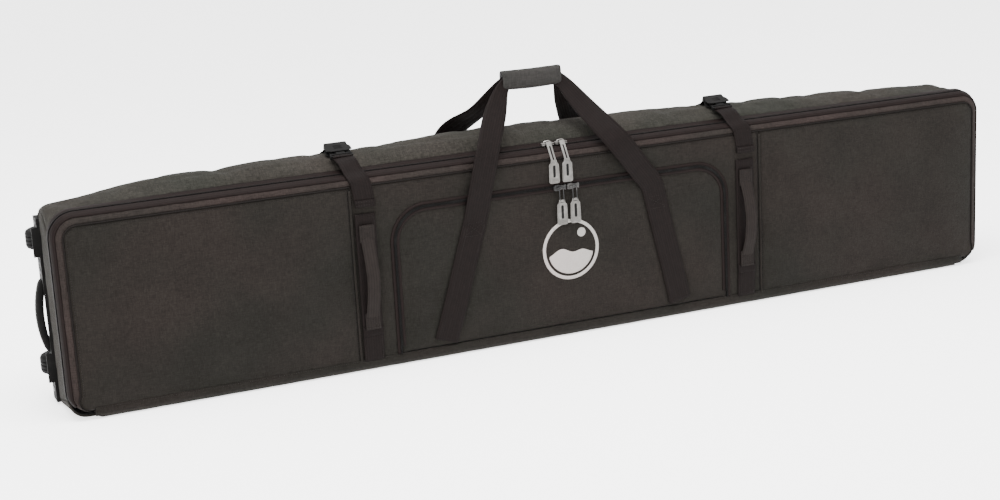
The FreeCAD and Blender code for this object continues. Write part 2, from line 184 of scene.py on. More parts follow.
# Webbing: ribs across the length in two leaning halves, with a woven edge. Its colour follows the ribs'
# height: painted shade darkens the grooves, and worn patches lighten the crests.
def ribbedGroup():
    tree = newTree("ribbedWebbing", "ShaderNodeTree",
                   (("Place", "Vector"), ("Dark", "Color"), ("Light", "Color"), ("Rib", "Float", 2.2),
                    ("Lean", "Float", 0.5)),
                   (("Color", "Color"), ("Height", "Float"), ("Roughness", "Float")))
    w = Wiring(tree)
    given = w.add("NodeGroupInput").outputs
    part = w.add("SeparateXYZ", {0: given["Place"]}).outputs
    fold = w.sum("PINGPONG", part[0], 0.005)
    slope = w.sum("MULTIPLY_ADD", fold, given["Lean"], part[1])
    phase = w.sum("MULTIPLY", slope, w.sum("DIVIDE", 1000 * math.pi, given["Rib"]))
    rib = w.sum("ABSOLUTE", w.sum("SINE", phase))
    line = w.sum("ABSOLUTE", w.sum("SINE", w.sum("MULTIPLY", part[0], math.pi / 0.005)))
    height = w.sum("MULTIPLY", rib, w.sum("POWER", line, 0.25))
    worn = w.add("TexNoise", {"Vector": given["Place"], "Scale": 70.0, "Detail": 5.0,
                              "Roughness": 0.7}).outputs[0]
    # Colour from the rib height: painted shade in the grooves between ribs, with worn patches lighter on
    # the crests.
    tone = w.sum("MULTIPLY", height, w.sum("ADD", worn, 0.25))
    colour = w.mix(tone, given["Dark"], given["Light"])
    rough = w.add("MapRange", {0: height, 3: 0.85, 4: 0.55}).outputs[0]
    w.add("NodeGroupOutput", {"Color": colour, "Height": height, "Roughness": rough})
    return tree


# Moulded or cast finish with fine grain and rubbed patches.
def grainGroup():
    tree = newTree("mouldedGrain", "ShaderNodeTree",
                   (("Place", "Vector"), ("Base", "Color"), ("Rubbed", "Color"), ("Grain", "Float", 900.0),
                    ("Wear", "Float", 0.3), ("Smooth", "Float", 0.35), ("Rough", "Float", 0.6)),
                   (("Color", "Color"), ("Height", "Float"), ("Roughness", "Float")))
    w = Wiring(tree)
    given = w.add("NodeGroupInput").outputs
    cells = w.add("TexVoronoi", {"Vector": given["Place"], "Scale": given["Grain"]}).outputs[0]
    patch = w.add("TexNoise", {"Vector": given["Place"], "Scale": 45.0, "Detail": 6.0,
                               "Roughness": 0.65}).outputs[0]
    rub = w.add("MapRange", {0: patch, 1: 0.5, 2: 0.72}).outputs[0]
    mask = w.sum("MULTIPLY", rub, given["Wear"])
    colour = w.mix(mask, given["Base"], given["Rubbed"])
    rough = w.add("Mix", {0: patch, 2: given["Smooth"], 3: given["Rough"]}).outputs[0]
    w.add("NodeGroupOutput", {"Color": colour, "Height": cells, "Roughness": rough})
    return tree


shaderGroups = {"woven": wovenGroup(), "ribbed": ribbedGroup(), "grain": grainGroup()}


# A material: one group feeds colour, roughness and bump; place is UV or Object.
def finish(name, group, place, bump, depth, metallic=0.0, sheen=0.0, gloss=0.06, **values):
    material = bpy.data.materials.new(name)
    material.use_nodes = True
    w = Wiring(material.node_tree)
    shader = material.node_tree.nodes["Principled BSDF"]
    source = w.add("TexCoord").outputs[place]
    out = w.group(shaderGroups[group], Place=source, **values)
    lift = w.add("Bump", {"Strength": bump, "Distance": depth * mm, "Height": out["Height"]}).outputs[0]
    for socket, value in (("Base Color", out["Color"]), ("Roughness", out["Roughness"]), ("Normal", lift)):
        material.node_tree.links.new(value, shader.inputs[socket])
    shader.inputs["Metallic"].default_value = metallic
    shader.inputs["Specular IOR Level"].default_value = 0.5 if metallic else gloss
    if sheen:
        shader.inputs["Sheen Weight"].default_value = sheen
        shader.inputs["Sheen Roughness"].default_value = 0.5
    return material


paint = {
    "lid": finish("lidCloth", "woven", "UV", 0.55, 0.35, sheen=0.015, Dark=rgb(0.0036, 0.0028, 0.0024),
                  Light=rgb(0.0158, 0.0142, 0.0124), Threads=1250.0, Fleck=1.1, Blotch=0.35),
    "shell": finish("shellCloth", "woven", "UV", 0.55, 0.35, sheen=0.015, Dark=rgb(0.0032, 0.0029, 0.0024),
                    Light=rgb(0.0300, 0.0282, 0.0245), Threads=1250.0, Fleck=1.1, Blotch=0.3),
    "lining": finish("liningCloth", "woven", "UV", 0.3, 0.2, Dark=rgb(0.05, 0.05, 0.052),
                     Light=rgb(0.13, 0.13, 0.135), Threads=1600.0, Fleck=0.3, Blotch=0.2),
    "tape": finish("zipTape", "ribbed", "UV", 0.4, 0.25, Dark=rgb(0.0020, 0.0013, 0.0012),
                   Light=rgb(0.0100, 0.0058, 0.0052), Rib=1.1, Lean=0.0),
    "bound": finish("seamBinding", "ribbed", "UV", 0.4, 0.2, Dark=rgb(0.0035, 0.0030, 0.0027),
                    Light=rgb(0.0080, 0.0058, 0.0052), Rib=0.9, Lean=0.7),
    "webbing": finish("strapWebbing", "ribbed", "UV", 0.7, 0.5, Dark=rgb(0.0016, 0.0011, 0.0010),
                      Light=rgb(0.0080, 0.0050, 0.0046), Rib=2.4, Lean=0.55),
    "grab": finish("grabWebbing", "ribbed", "UV", 0.7, 0.4, Dark=rgb(0.0030, 0.0022, 0.0020),
                   Light=rgb(0.0165, 0.0128, 0.0114), Rib=1.8, Lean=0.3),
    "grip": finish("gripCloth", "woven", "UV", 0.6, 0.4, sheen=0.02, Dark=rgb(0.008, 0.008, 0.0076),
                   Light=rgb(0.030, 0.0298, 0.0288), Threads=900.0, Fleck=0.9, Blotch=0.3),
    # The rim's cloth is the lid's cloth painted lighter and browner: a painted highlight for the light that
    # its rounded face catches.
    "rim": finish("rimClothPaintedHighlight", "woven", "UV", 0.55, 0.35, sheen=0.015, Dark=rgb(0.0044, 0.0033, 0.0030),
                  Light=rgb(0.0290, 0.0228, 0.0212), Threads=1250.0, Fleck=1.1, Blotch=0.35),
    "darkMetal": finish("darkMetal", "grain", "Object", 0.2, 0.06, metallic=1.0, Base=rgb(0.03, 0.03, 0.03),
                        Rubbed=rgb(0.11, 0.105, 0.10), Grain=1500.0, Wear=0.7, Smooth=0.35, Rough=0.6),
    "thread": finish("sewingThread", "grain", "Object", 0.2, 0.1, Base=rgb(0.0100, 0.0085, 0.0078),
                     Rubbed=rgb(0.026, 0.0235, 0.0215), Grain=2500.0, Wear=0.6),
    "plastic": finish("blackPlastic", "grain", "Object", 0.25, 0.12, Base=rgb(0.0035, 0.0033, 0.0032),
                      Rubbed=rgb(0.014, 0.0135, 0.013), Grain=1400.0, Wear=0.45, Smooth=0.5, Rough=0.72),
    "rubber": finish("softRubber", "grain", "Object", 0.35, 0.2, Base=rgb(0.0040, 0.0038, 0.0037),
                     Rubbed=rgb(0.014, 0.0132, 0.0126), Grain=700.0, Wear=0.5, Smooth=0.55, Rough=0.8),
    "tyre": finish("wheelTyre", "grain", "Object", 0.4, 0.25, Base=rgb(0.0035, 0.0034, 0.0034),
                   Rubbed=rgb(0.010, 0.0096, 0.0092), Grain=500.0, Wear=0.8, Smooth=0.5, Rough=0.75),
    "hub": finish("hubPlastic", "grain", "Object", 0.25, 0.12, Base=rgb(0.010, 0.010, 0.010),
                  Rubbed=rgb(0.028, 0.027, 0.026), Grain=1100.0, Wear=0.5, Smooth=0.35, Rough=0.6),
    "steel": finish("zincSteel", "grain", "Object", 0.15, 0.05, metallic=1.0, Base=rgb(0.13, 0.13, 0.135),
                    Rubbed=rgb(0.26, 0.26, 0.265), Grain=1800.0, Wear=0.7, Smooth=0.28, Rough=0.45),
    "slider": finish("sliderMetal", "grain", "Object", 0.2, 0.06, metallic=1.0, Base=rgb(0.20, 0.19, 0.18),
                     Rubbed=rgb(0.46, 0.44, 0.42), Grain=1500.0, Wear=0.8, Smooth=0.25, Rough=0.5),
    "pull": finish("pullTab", "grain", "Object", 0.3, 0.1, Base=rgb(0.10, 0.096, 0.09),
                   Rubbed=rgb(0.21, 0.205, 0.195), Grain=1200.0, Wear=0.6, Smooth=0.35, Rough=0.6),
    "print": finish("palePrint", "woven", "UV", 0.35, 0.25, Dark=rgb(0.20, 0.192, 0.186),
                    Light=rgb(0.31, 0.30, 0.292), Threads=1250.0, Fleck=0.6, Blotch=0.35),
    "board": finish("boardPlastic", "grain", "Object", 0.2, 0.1, Base=rgb(0.045, 0.045, 0.045),
                    Rubbed=rgb(0.09, 0.09, 0.09), Grain=600.0, Wear=0.5),
    "stay": finish("stayAluminium", "grain", "Object", 0.15, 0.05, metallic=1.0, Base=rgb(0.22, 0.22, 0.23),
                   Rubbed=rgb(0.38, 0.38, 0.39), Grain=1800.0, Wear=0.5, Smooth=0.3, Rough=0.45),
}
print("materials ready")


# mesh helpers
def newPiece(name, points, faces, material, uvs=None, edges=()):
    mesh = bpy.data.meshes.new(name)
    mesh.from_pydata([Vector(p) * mm for p in points], edges, faces)
    if uvs is not None:
        layer = mesh.uv_layers.new(name="UVMap")
        for loop in mesh.loops:
            u, v = uvs[loop.vertex_index]
            layer.data[loop.index].uv = (u * mm, v * mm)
    mesh.shade_smooth()
    return linked(name, mesh, material if isinstance(material, (list, tuple)) else [material])


# A piece from a working mesh, which is then freed.
def fromWork(name, work, materials):
    mesh = bpy.data.meshes.new(name)
    work.to_mesh(mesh)
    work.free()
    return linked(name, mesh, materials)


# Applies a piece's modifiers to its mesh.
def settleMesh(piece):
    graph = bpy.context.evaluated_depsgraph_get()
    mesh = bpy.data.meshes.new_from_object(piece.evaluated_get(graph), preserve_all_data_layers=True,
                                           depsgraph=graph)
    piece.modifiers.clear()
    piece.data = mesh
    return piece


# Faces over a grid of points; rows run along the piece and each row goes across it.
def gridPiece(name, rows, material, closeAcross=False, closeAlong=False, caps=False, uvs=None):
    count, across = len(rows), len(rows[0])
    points = [p for row in rows for p in row]
    if uvs is None:
        uvs, along = [], 0.0
        for i, row in enumerate(rows):
            if i:
                along += (Vector(row[0]) + Vector(row[across // 2])
                          - Vector(rows[i - 1][0]) - Vector(rows[i - 1][across // 2])).length / 2
            side = 0.0
            for j in range(across):
                if j:
                    side += (Vector(row[j]) - Vector(row[j - 1])).length
                uvs.append((side, along))
    faces = []
    for i in range(count if closeAlong else count - 1):
        for j in range(across if closeAcross else across - 1):
            a, b = i * across + j, i * across + (j + 1) % across
            low = (i + 1) % count * across
            faces.append((a, b, low + (j + 1) % across, low + j))
    if caps:
        faces.append(tuple(reversed(range(across))))
        faces.append(tuple(range((count - 1) * across, count * across)))
    return newPiece(name, points, faces, material, uvs)


# Turns a closed mesh's faces outwards.
def faceOut(piece):
    work = bmesh.new()
    work.from_mesh(piece.data)
    bmesh.ops.remove_doubles(work, verts=work.verts, dist=1e-6)
    bmesh.ops.recalc_face_normals(work, faces=work.faces)
    work.to_mesh(piece.data)
    work.free()
    return piece


# Flips an open sheet that looks against the way out.
def faceAlong(piece, out):
    if sum(polygon.normal.dot(out) for polygon in piece.data.polygons) < 0:
        piece.data.flip_normals()
    return piece


# Gives an open sheet its thickness; a lined one shows its second material inside.
def addWall(piece, thick, offset=-1, lined=False):
    wall = piece.modifiers.new("wall", "SOLIDIFY")
    wall.thickness, wall.offset, wall.material_offset = thick * mm, offset, 1 if lined else 0
    return piece


# Splits each face in four and rounds the result.
def halved(piece, **settings):
    soft = piece.modifiers.new("soft", "SUBSURF")
    for key, value in dict(settings, levels=1, render_levels=1).items():
        setattr(soft, key, value)
    return piece


# Several meshes made into one piece.
def joined(name, pieces):
    work, materials = bmesh.new(), []
    for piece in pieces:
        mesh = piece.data
        slots = []
        for material in mesh.materials:
            if material not in materials:
                materials.append(material)
            slots.append(materials.index(material))
        before = len(work.faces)
        work.from_mesh(mesh)
        work.faces.ensure_lookup_table()
        for face in work.faces[before:]:
            face.material_index = slots[min(face.material_index, len(slots) - 1)] if slots else 0
    for piece in pieces:
        bpy.data.objects.remove(piece)
    return fromWork(name, work, materials)


# Rides the piece on its body and hides the frame nodes it stands for.
def place(piece, body, slot, *stands):
    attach(piece, body)
    if stands:
        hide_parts(*stands)
    return piece


# Evenly spaced rows on a smooth curve through the given ones; the first three columns are the place.
def smoothTrack(rows, step=6.0):
    pts = np.array([tuple(row) for row in rows], float)
    pts = np.vstack([2 * pts[0] - pts[1], pts, 2 * pts[-1] - pts[-2]])
    dense = []
    for a, b, c, d in zip(pts, pts[1:], pts[2:], pts[3:]):
        count = max(2, int(np.linalg.norm(c[:3] - b[:3]) / 2))
        for k in range(count):
            t = k / count
            dense.append(0.5 * (2 * b + (c - a) * t + (2 * a - 5 * b + 4 * c - d) * t * t
                                + (3 * b - a - 3 * c + d) * t ** 3))
    return evenly(dense + [pts[-2]], step)


# The same line with rows a step apart.
def evenly(rows, step):
    table = np.array([tuple(row) for row in rows], float)
    reach = np.concatenate([[0], np.cumsum(np.linalg.norm(np.diff(table[:, :3], axis=0), axis=1))])
    wanted = np.linspace(0, reach[-1], max(1, round(reach[-1] / step)) + 1)
    return np.stack([np.interp(wanted, reach, column) for column in table.T], axis=1)


def smoothPath(points, step=6.0):
    return [Vector(row) for row in smoothTrack(points, step)]


# A round cord through points.
def tube(name, points, radius, material, sides=8, caps=True):
    rows, last = [], None
    for i, point in enumerate(points):
        along = (points[min(i + 1, len(points) - 1)] - points[max(i - 1, 0)]).normalized()
        if last is None:
            last = along.orthogonal().normalized()
        first = (last - along * last.dot(along)).normalized()
        last = first
        second = along.cross(first)
        size = radius(i) if callable(radius) else radius
        rows.append([point + (first * math.cos(a) + second * math.sin(a)) * size
                     for a in (2 * math.pi * k / sides for k in range(sides))])
    return faceOut(gridPiece(name, rows, material, closeAcross=True, caps=caps))


# Flat webbing with rounded edges along centres; normals point off its outer face.
def ribbon(name, centres, normals, widths, thick, material, columns=7, cup=0.0):
    rows, uvs, along = [], [], 0.0
    for i, (centre, normal) in enumerate(zip(centres, normals)):
        ahead = (centres[min(i + 1, len(centres) - 1)] - centres[max(i - 1, 0)]).normalized()
        side = ahead.cross(normal).normalized()
        out = side.cross(ahead).normalized()
        width = widths[i] if isinstance(widths, (list, tuple)) else widths
        if i:
            along += (centre - centres[i - 1]).length
        row, flat = [], []
        spread = [-1 + 2 * k / (columns - 1) for k in range(columns)]
        for level, order in ((0.5, spread), (-0.5, spread[::-1])):
            for t in order:
                edge = 0.45 if abs(t) == 1 else 1.0
                row.append(centre + side * (t * width / 2) + out * (level * thick * edge - cup * t * t))
                flat.append((t * width / 2 + 50, along))
        rows.append(row)
        uvs += flat
    return faceOut(gridPiece(name, rows, material, closeAcross=True, caps=True, uvs=uvs))


# A moulded block with rounded edges; taper draws its top in by that many millimetres.
def bevelledBlock(name, low, high, material, size=1.0, segments=2, taper=None):
    work = bmesh.new()
    bmesh.ops.create_cube(work, size=1)
    for vert in work.verts:
        vert.co = Vector([(low[k] + high[k]) / 2 + vert.co[k] * (high[k] - low[k]) for k in range(3)])
    if taper:
        axis, amount = taper
        middle = [(low[k] + high[k]) / 2 for k in range(3)]
        for vert in work.verts:
            if (vert.co[abs(axis) - 1] > middle[abs(axis) - 1]) == (axis > 0):
                for k in range(3):
                    if k != abs(axis) - 1:
                        vert.co[k] += -amount if vert.co[k] > middle[k] else amount
    bmesh.ops.bevel(work, geom=work.edges[:], offset=size, segments=segments, profile=0.5, affect="EDGES",
                    clamp_overlap=True)
    bmesh.ops.recalc_face_normals(work, faces=work.faces)
    bmesh.ops.scale(work, verts=work.verts, vec=(mm, mm, mm))
    return fromWork(name, work, [material])


# A turned shape about an upright axis; profile lists (radius, height), closed.
def lathe(name, profile, centre, material, sides=48):
    rows = []
    for k in range(sides):
        a = 2 * math.pi * k / sides
        rows.append([Vector((centre[0] + r * math.cos(a), centre[1] + r * math.sin(a), centre[2] + z))
                     for r, z in profile])
    return faceOut(gridPiece(name, rows, material, closeAcross=True, closeAlong=True))


# geometry-node helpers
# Sets one small shape along every line of a mesh, a pitch apart.
def repeatTree(name, shapeKind, shapeFeeds):
    tree = newTree(name, "GeometryNodeTree",
                   (("Lines", "Geometry"), ("Pitch", "Float", 0.004), ("Length", "Float", 0.003),
                    ("Width", "Float", 0.001), ("Height", "Float", 0.001), ("Turn", "Float", 0.0),
                    ("Stagger", "Float", 0.0), ("Seed", "Int", 3), ("Material", "Material")),
                   (("Pieces", "Geometry"),))
    w = Wiring(tree, "GeometryNode")
    given = w.add("NodeGroupInput").outputs
    curve = w.add("MeshToCurve", {0: given["Lines"]}).outputs[0]
    even = w.add("ResampleCurve", {"Curve": curve, "Length": given["Pitch"]}, mode="LENGTH").outputs[0]
    shape = w.add(shapeKind, shapeFeeds).outputs[0]
    tangent = w.add("InputTangent").outputs[0]
    turned = w.add("FunctionNodeAlignRotationToVector", {"Vector": tangent}, axis="X").outputs[0]
    jitter = w.add("FunctionNodeRandomValue", {2: -0.12, 3: 0.12, "Seed": given["Seed"]}).outputs[1]
    swing = w.add("ShaderNodeMath", {0: given["Turn"], 1: jitter}, operation="ADD").outputs[0]
    spin = w.add("ShaderNodeCombineXYZ", {2: swing}).outputs[0]
    local = w.add("FunctionNodeEulerToRotation", {0: spin}).outputs[0]
    both = w.add("FunctionNodeRotateRotation", {0: turned, 1: local}, rotation_space="LOCAL").outputs[0]
    size = w.add("ShaderNodeCombineXYZ", {0: given["Length"], 1: given["Width"],
                                          2: given["Height"]}).outputs[0]
    placed = w.add("InstanceOnPoints", {"Points": even, "Instance": shape, "Rotation": both,
                                        "Scale": size}).outputs[0]
    solid = w.add("RealizeInstances", {0: placed}).outputs[0]
    smooth = w.add("SetShadeSmooth", {0: solid}).outputs[0]
    coloured = w.add("SetMaterial", {0: smooth, "Material": given["Material"]}).outputs[0]
    w.add("NodeGroupOutput", {0: coloured})
    return tree


# Runs a tree on a piece with its named inputs set and keeps the result as a plain mesh.
def runTree(piece, tree, values):
    modifier = piece.modifiers.new("tree", "NODES")
    modifier.node_group = tree
    for item in tree.interface.items_tree:
        if item.item_type == "SOCKET" and item.in_out == "INPUT" and item.name in values:
            modifier[item.identifier] = values[item.name]
    return settleMesh(piece)


# The same over polylines.
def alongLines(name, tree, lines, values):
    points, edges = [], []
    for line in lines:
        start = len(points)
        points += line
        edges += [(start + k, start + k + 1) for k in range(len(line) - 1)]
    return runTree(newPiece(name, points, [], [], edges=edges), tree, values)


stitchTree = repeatTree("stitchRun", "MeshUVSphere", {"Segments": 5, "Rings": 4, "Radius": 0.5})
coilTree = repeatTree("zipCoil", "MeshCylinder", {"Vertices": 6, "Radius": 0.5, "Depth": 1.0})


# the bag's lines
face = 78.0                    # the lid's face and the back panel stand this far from the middle
bagShape = {"half": 975.0, "face": face, "zipPlane": -56.0, "lidTop": 376.0, "lidFoot": 18.2,
            "ledge": (-45.0, 377.0),
            "backTop": 352.0, "topCorner": 45.0, "footCorner": 32.0, "rim": 20.0, "seam": 433.0,
            "flatEnd": 880, "endRun": 120, "endHigh": 320, "rimRun": 32,
            "crown": ((-1000, 376), (-940, 380), (-868, 388), (-813, 399), (-700, 405), (-600, 406),
                      (-500, 406),
                      (-427, 406), (-300, 410), (-197, 413), (-30, 414), (232, 408), (377, 404), (462, 399),
                      (703, 394), (880, 386), (930, 383), (1000, 380))}
crownX = np.arange(-1100, 1101, 5.0)
bell = np.exp(-0.5 * (np.arange(-100, 101, 5.0) / 32) ** 2)
crownHeights = np.convolve(np.interp(crownX, *zip(*bagShape["crown"])), bell / bell.sum(), mode="same")


def ease(low, high, value):
    t = min(1.0, max(0.0, (value - low) / (high - low)))
    return t * t * (3 - 2 * t)


# Height of the crowned top at x, y.
def crownZ(x, y):
    ay, az = bagShape["ledge"]
    if y <= ay:
        return az - 1.0 * (ay - y) / 11
    by, bz = 8.0, float(np.interp(x, crownX, crownHeights))
    cy, cz = bagShape["face"], bagShape["backTop"]
    d = 2 * (ay * (bz - cz) + by * (cz - az) + cy * (az - bz))
    ka, kb, kc = ay * ay + az * az, by * by + bz * bz, cy * cy + cz * cz
    midY = (ka * (bz - cz) + kb * (cz - az) + kc * (az - bz)) / d
    midZ = (ka * (cy - by) + kb * (ay - cy) + kc * (by - ay)) / d
    radius = math.hypot(ay - midY, az - midZ)
    return midZ + math.sqrt(max(0.0, radius ** 2 - (y - midY) ** 2))


def cornerRadius(side, level, y):
    back, reach = {(-1, "top"): (9, 20), (1, "top"): (88, 5), (-1, "foot"): (9, 60), (1, "foot"): (26, 60)}[
        (side, level)]
    front = bagShape["topCorner"] if level == "top" else bagShape["footCorner"]
    return front + (back - front) * ease(-55, reach, y)


# Distance along the bag and fall round the corner for a point u along a long panel.
def aroundCorner(u, y, level):
    side = -1 if u < 0 else 1
    flatEnd = bagShape["flatEnd"]
    if abs(u) <= flatEnd:
        return u, 0.0, u
    radius = cornerRadius(side, level, y)
    straight = bagShape["half"] - radius - flatEnd
    run = (abs(u) - flatEnd) / bagShape["endRun"] * (straight + radius * math.pi / 2)
    if run <= straight:
        return side * (flatEnd + run), 0.0, side * (flatEnd + run)
    angle = (run - straight) / radius
    reach = bagShape["half"] - radius
    return side * (reach + radius * math.sin(angle)), radius * (1 - math.cos(angle)), side * reach


def topPlace(u, y):
    x, fall, base = aroundCorner(u, y, "top")
    return Vector((x, y, crownZ(base, y) - fall))


# Down round the front lip and back under the bag.
def footSection(w):
    drop, lip = 9.0, 7.0
    bend = lip * math.pi / 2
    if w < drop:
        return -face, drop + lip - w
    if w < drop + bend:
        angle = (w - drop) / lip
        return lip - face - lip * math.cos(angle), lip - lip * math.sin(angle)
    return lip - face + w - drop - bend, 0.0


def footPlace(u, w):
    y, z = footSection(w)
    x, rise, base = aroundCorner(u, y, "foot")
    return Vector((x, y, z + rise))


def endPlace(side):
    def at(y, v):
        low = cornerRadius(side, "foot", y)
        top = cornerRadius(side, "top", y)
        high = crownZ(side * (bagShape["half"] - top), y) - top
        return Vector((side * bagShape["half"], y, low + (high - low) * v / bagShape["endHigh"]))
    return at


# Points of the lid's outer edge with the way out, the seam's inset and the rim's depth at each.
def rimPath():
    half, foot, top = bagShape["half"], bagShape["lidFoot"], bagShape["lidTop"]
    low, high, steps = bagShape["footCorner"], bagShape["topCorner"], 12
    path = []
    for k in range(steps + 1):
        angle = math.pi / 2 * k / steps
        shrink = ease(0, 1, k / steps)
        path.append((low - half - low * math.sin(angle), foot + low - low * math.cos(angle),
                     -math.sin(angle), -math.cos(angle), bagShape["rim"] * shrink, 3 + 18 * shrink))
    z = foot + low
    while z < top - high - 12:
        z += 10
        path.append((-half, z, -1, 0, bagShape["rim"], 21))
    for k in range(steps + 1):
        angle = math.pi / 2 * k / steps
        path.append((high - half - high * math.cos(angle), top - high + high * math.sin(angle),
                     -math.cos(angle), math.sin(angle), bagShape["rim"], 21))
    x = high - half
    while x < -10:
        x += 10
        path.append((x, top, 0, 1, bagShape["rim"], 21))
    return path + [(-x, z, -nx, nz, inset, deep) for x, z, nx, nz, inset, deep in reversed(path)]


rimLine = rimPath()
rimReach = [0.0]
for a, b in zip(rimLine, rimLine[1:]):
    rimReach.append(rimReach[-1] + math.hypot(b[0] - a[0], b[1] - a[1]))


# s runs round the lid's edge; v goes from the front seam over the rounded rim to the zip.
def rimPlace(s, v):
    x, z, nx, nz, inset, deep = [float(np.interp(s, rimReach, column)) for column in zip(*rimLine)]
    angle = math.pi / 2 * v / bagShape["rimRun"]
    inward = inset * (1 - math.sin(angle))
    return Vector((x - nx * inward, -bagShape["face"] + deep * (1 - math.cos(angle)), z - nz * inward))


lidEdge = [(x - nx * inset, z - nz * inset) for x, z, nx, nz, inset, deep in rimLine]


# Upright arch from its left foot over to its right foot.
def archLine(half, low, high, radius, steps=14):
    line = [(-half, low)]
    for k in range(steps + 1):
        angle = math.pi / 2 * k / steps
        line.append((radius - half - radius * math.cos(angle), high - radius + radius * math.sin(angle)))
    return line + [(-x, z) for x, z in reversed(line)]


# sewn panels
def densify(points, step):
    line = []
    for a, b in zip(points, points[1:] + points[:1]):
        count = max(1, math.ceil(math.dist(a, b) / step))
        line += [(a[0] + (b[0] - a[0]) * k / count, a[1] + (b[1] - a[1]) * k / count) for k in range(count)]
    return line


def segmentsOf(lines, closed):
    pairs = []
    for line in lines:
        ends = line[1:] + line[:1] if closed else line[1:]
        pairs += [(a, b) for a, b in zip(line, ends)]
    return np.array(pairs, float).reshape(-1, 2, 2)


# Distance from flat points to the nearest seam, and the place along it.
def toSeam(flat, segments):
    best, along = np.full(len(flat), 1e9), np.zeros(len(flat))
    for a, b in segments:
        d = b - a
        length = max(1e-9, float(np.hypot(*d)))
        t = np.clip(((flat - a) @ d) / length ** 2, 0, 1)
        gap = np.hypot(*(flat - (a + t[:, None] * d)).T)
        near = gap < best
        best[near] = gap[near]
        along[near] = (flat[near] @ (d / length))
    return best, along


def isInside(flat, outline):
    inside = np.zeros(len(flat), bool)
    for (ax, ay), (bx, by) in zip(outline, outline[1:] + outline[:1]):
        if ay != by:
            crosses = ((ay > flat[:, 1]) != (by > flat[:, 1]))
            inside ^= crosses & (flat[:, 0] < (bx - ax) * (flat[:, 1] - ay) / (by - ay) + ax)
    return inside


# A sheet of mostly square faces filling a flat outline, put in place by at(u, v).
def sheetMesh(name, outline, holes, step, at, out, materials):
    loops = [densify(outline, step)] + [densify(hole, step) for hole in holes]
    border = segmentsOf(loops, True)
    low, high = np.min(loops[0], axis=0), np.max(loops[0], axis=0)
    across = np.linspace(low[0], high[0], max(2, round((high[0] - low[0]) / step)) + 1)
    up = np.linspace(low[1], high[1], max(2, round((high[1] - low[1]) / step)) + 1)
    lattice = np.array([(u, v) for v in up for u in across])
    keep = isInside(lattice, loops[0])
    for hole in loops[1:]:
        keep &= ~isInside(lattice, hole)
    lattice = lattice[keep]
    lattice = lattice[toSeam(lattice, border)[0] > step * 0.45]
    flat, edges = [], []
    for loop in loops:
        start = len(flat)
        flat += loop
        edges += [(start + k, start + (k + 1) % len(loop)) for k in range(len(loop))]
    flat += [tuple(p) for p in lattice]
    points, _, faces, *_ = delaunay_2d_cdt([Vector(p) for p in flat], edges, [], 0, 1e-4)
    flat = np.array([tuple(p) for p in points])
    middle = np.array([flat[list(face)].mean(axis=0) for face in faces])
    keep = isInside(middle, loops[0])
    for hole in loops[1:]:
        keep &= ~isInside(middle, hole)
    work = bmesh.new()
    verts = [work.verts.new((u, v, 0)) for u, v in flat]
    for face, good in zip(faces, keep):
        if good:
            work.faces.new([verts[k] for k in face])
    loose = [vert for vert in work.verts if not vert.link_faces]
    bmesh.ops.delete(work, geom=loose, context="VERTS")
    bmesh.ops.join_triangles(work, faces=work.faces, angle_face_threshold=0.1, angle_shape_threshold=0.9)
    layer = work.loops.layers.uv.new("UVMap")
    for face in work.faces:
        for loop in face.loops:
            loop[layer].uv = (loop.vert.co.x * mm, loop.vert.co.y * mm)
    for vert in work.verts:
        vert.co = at(vert.co.x, vert.co.y) * mm
    work.normal_update()
    if sum(face.normal.dot(out(face.calc_center_median() / mm)) * face.calc_area()
           for face in work.faces) < 0:
        bmesh.ops.reverse_faces(work, faces=work.faces)
    piece = fromWork(name, work, materials)
    piece.data.shade_smooth()
    return piece


panels = {}
clothFrames = 20


def addPanel(name, outline, at, out, skin, holes=(), step=10.0, pressure=2.0, slack=0.004, cap=5.0, dip=1.6,
             pucker=0.9, soft=1.6, softSize=120.0, seams=(), quiet=(), thick=3.5, bulge=0.0, flatBy=None):
    piece = sheetMesh(name, list(outline), [list(hole) for hole in holes], step, at, out,
                      [skin, paint["lining"]])
    border = segmentsOf([list(outline)] + [list(hole) for hole in holes], True)
    panels[name] = dict(piece=piece, border=border, pressure=pressure, slack=slack, cap=cap, dip=dip,
                        pucker=pucker, soft=soft, softSize=softSize, seams=seams, quiet=quiet, thick=thick,
                        bulge=bulge, flatBy=flatBy)


# Each vertex's place on its flat cut, in millimetres.
def flatOf(mesh):
    flat = np.zeros((len(mesh.vertices), 2))
    uv = np.zeros(len(mesh.loops) * 2)
    mesh.uv_layers[0].data.foreach_get("uv", uv)
    index = np.zeros(len(mesh.loops), int)
    mesh.loops.foreach_get("vertex_index", index)
    flat[index] = uv.reshape(-1, 2) / mm
    return flat


# 0 on the flat band where a zip is sewn, rising to 1 beyond it.
def bandFactor(flat, panel):
    return np.clip((toSeam(flat, segmentsOf([panel["flatBy"]], False))[0] - 9) / 16, 0, 1)


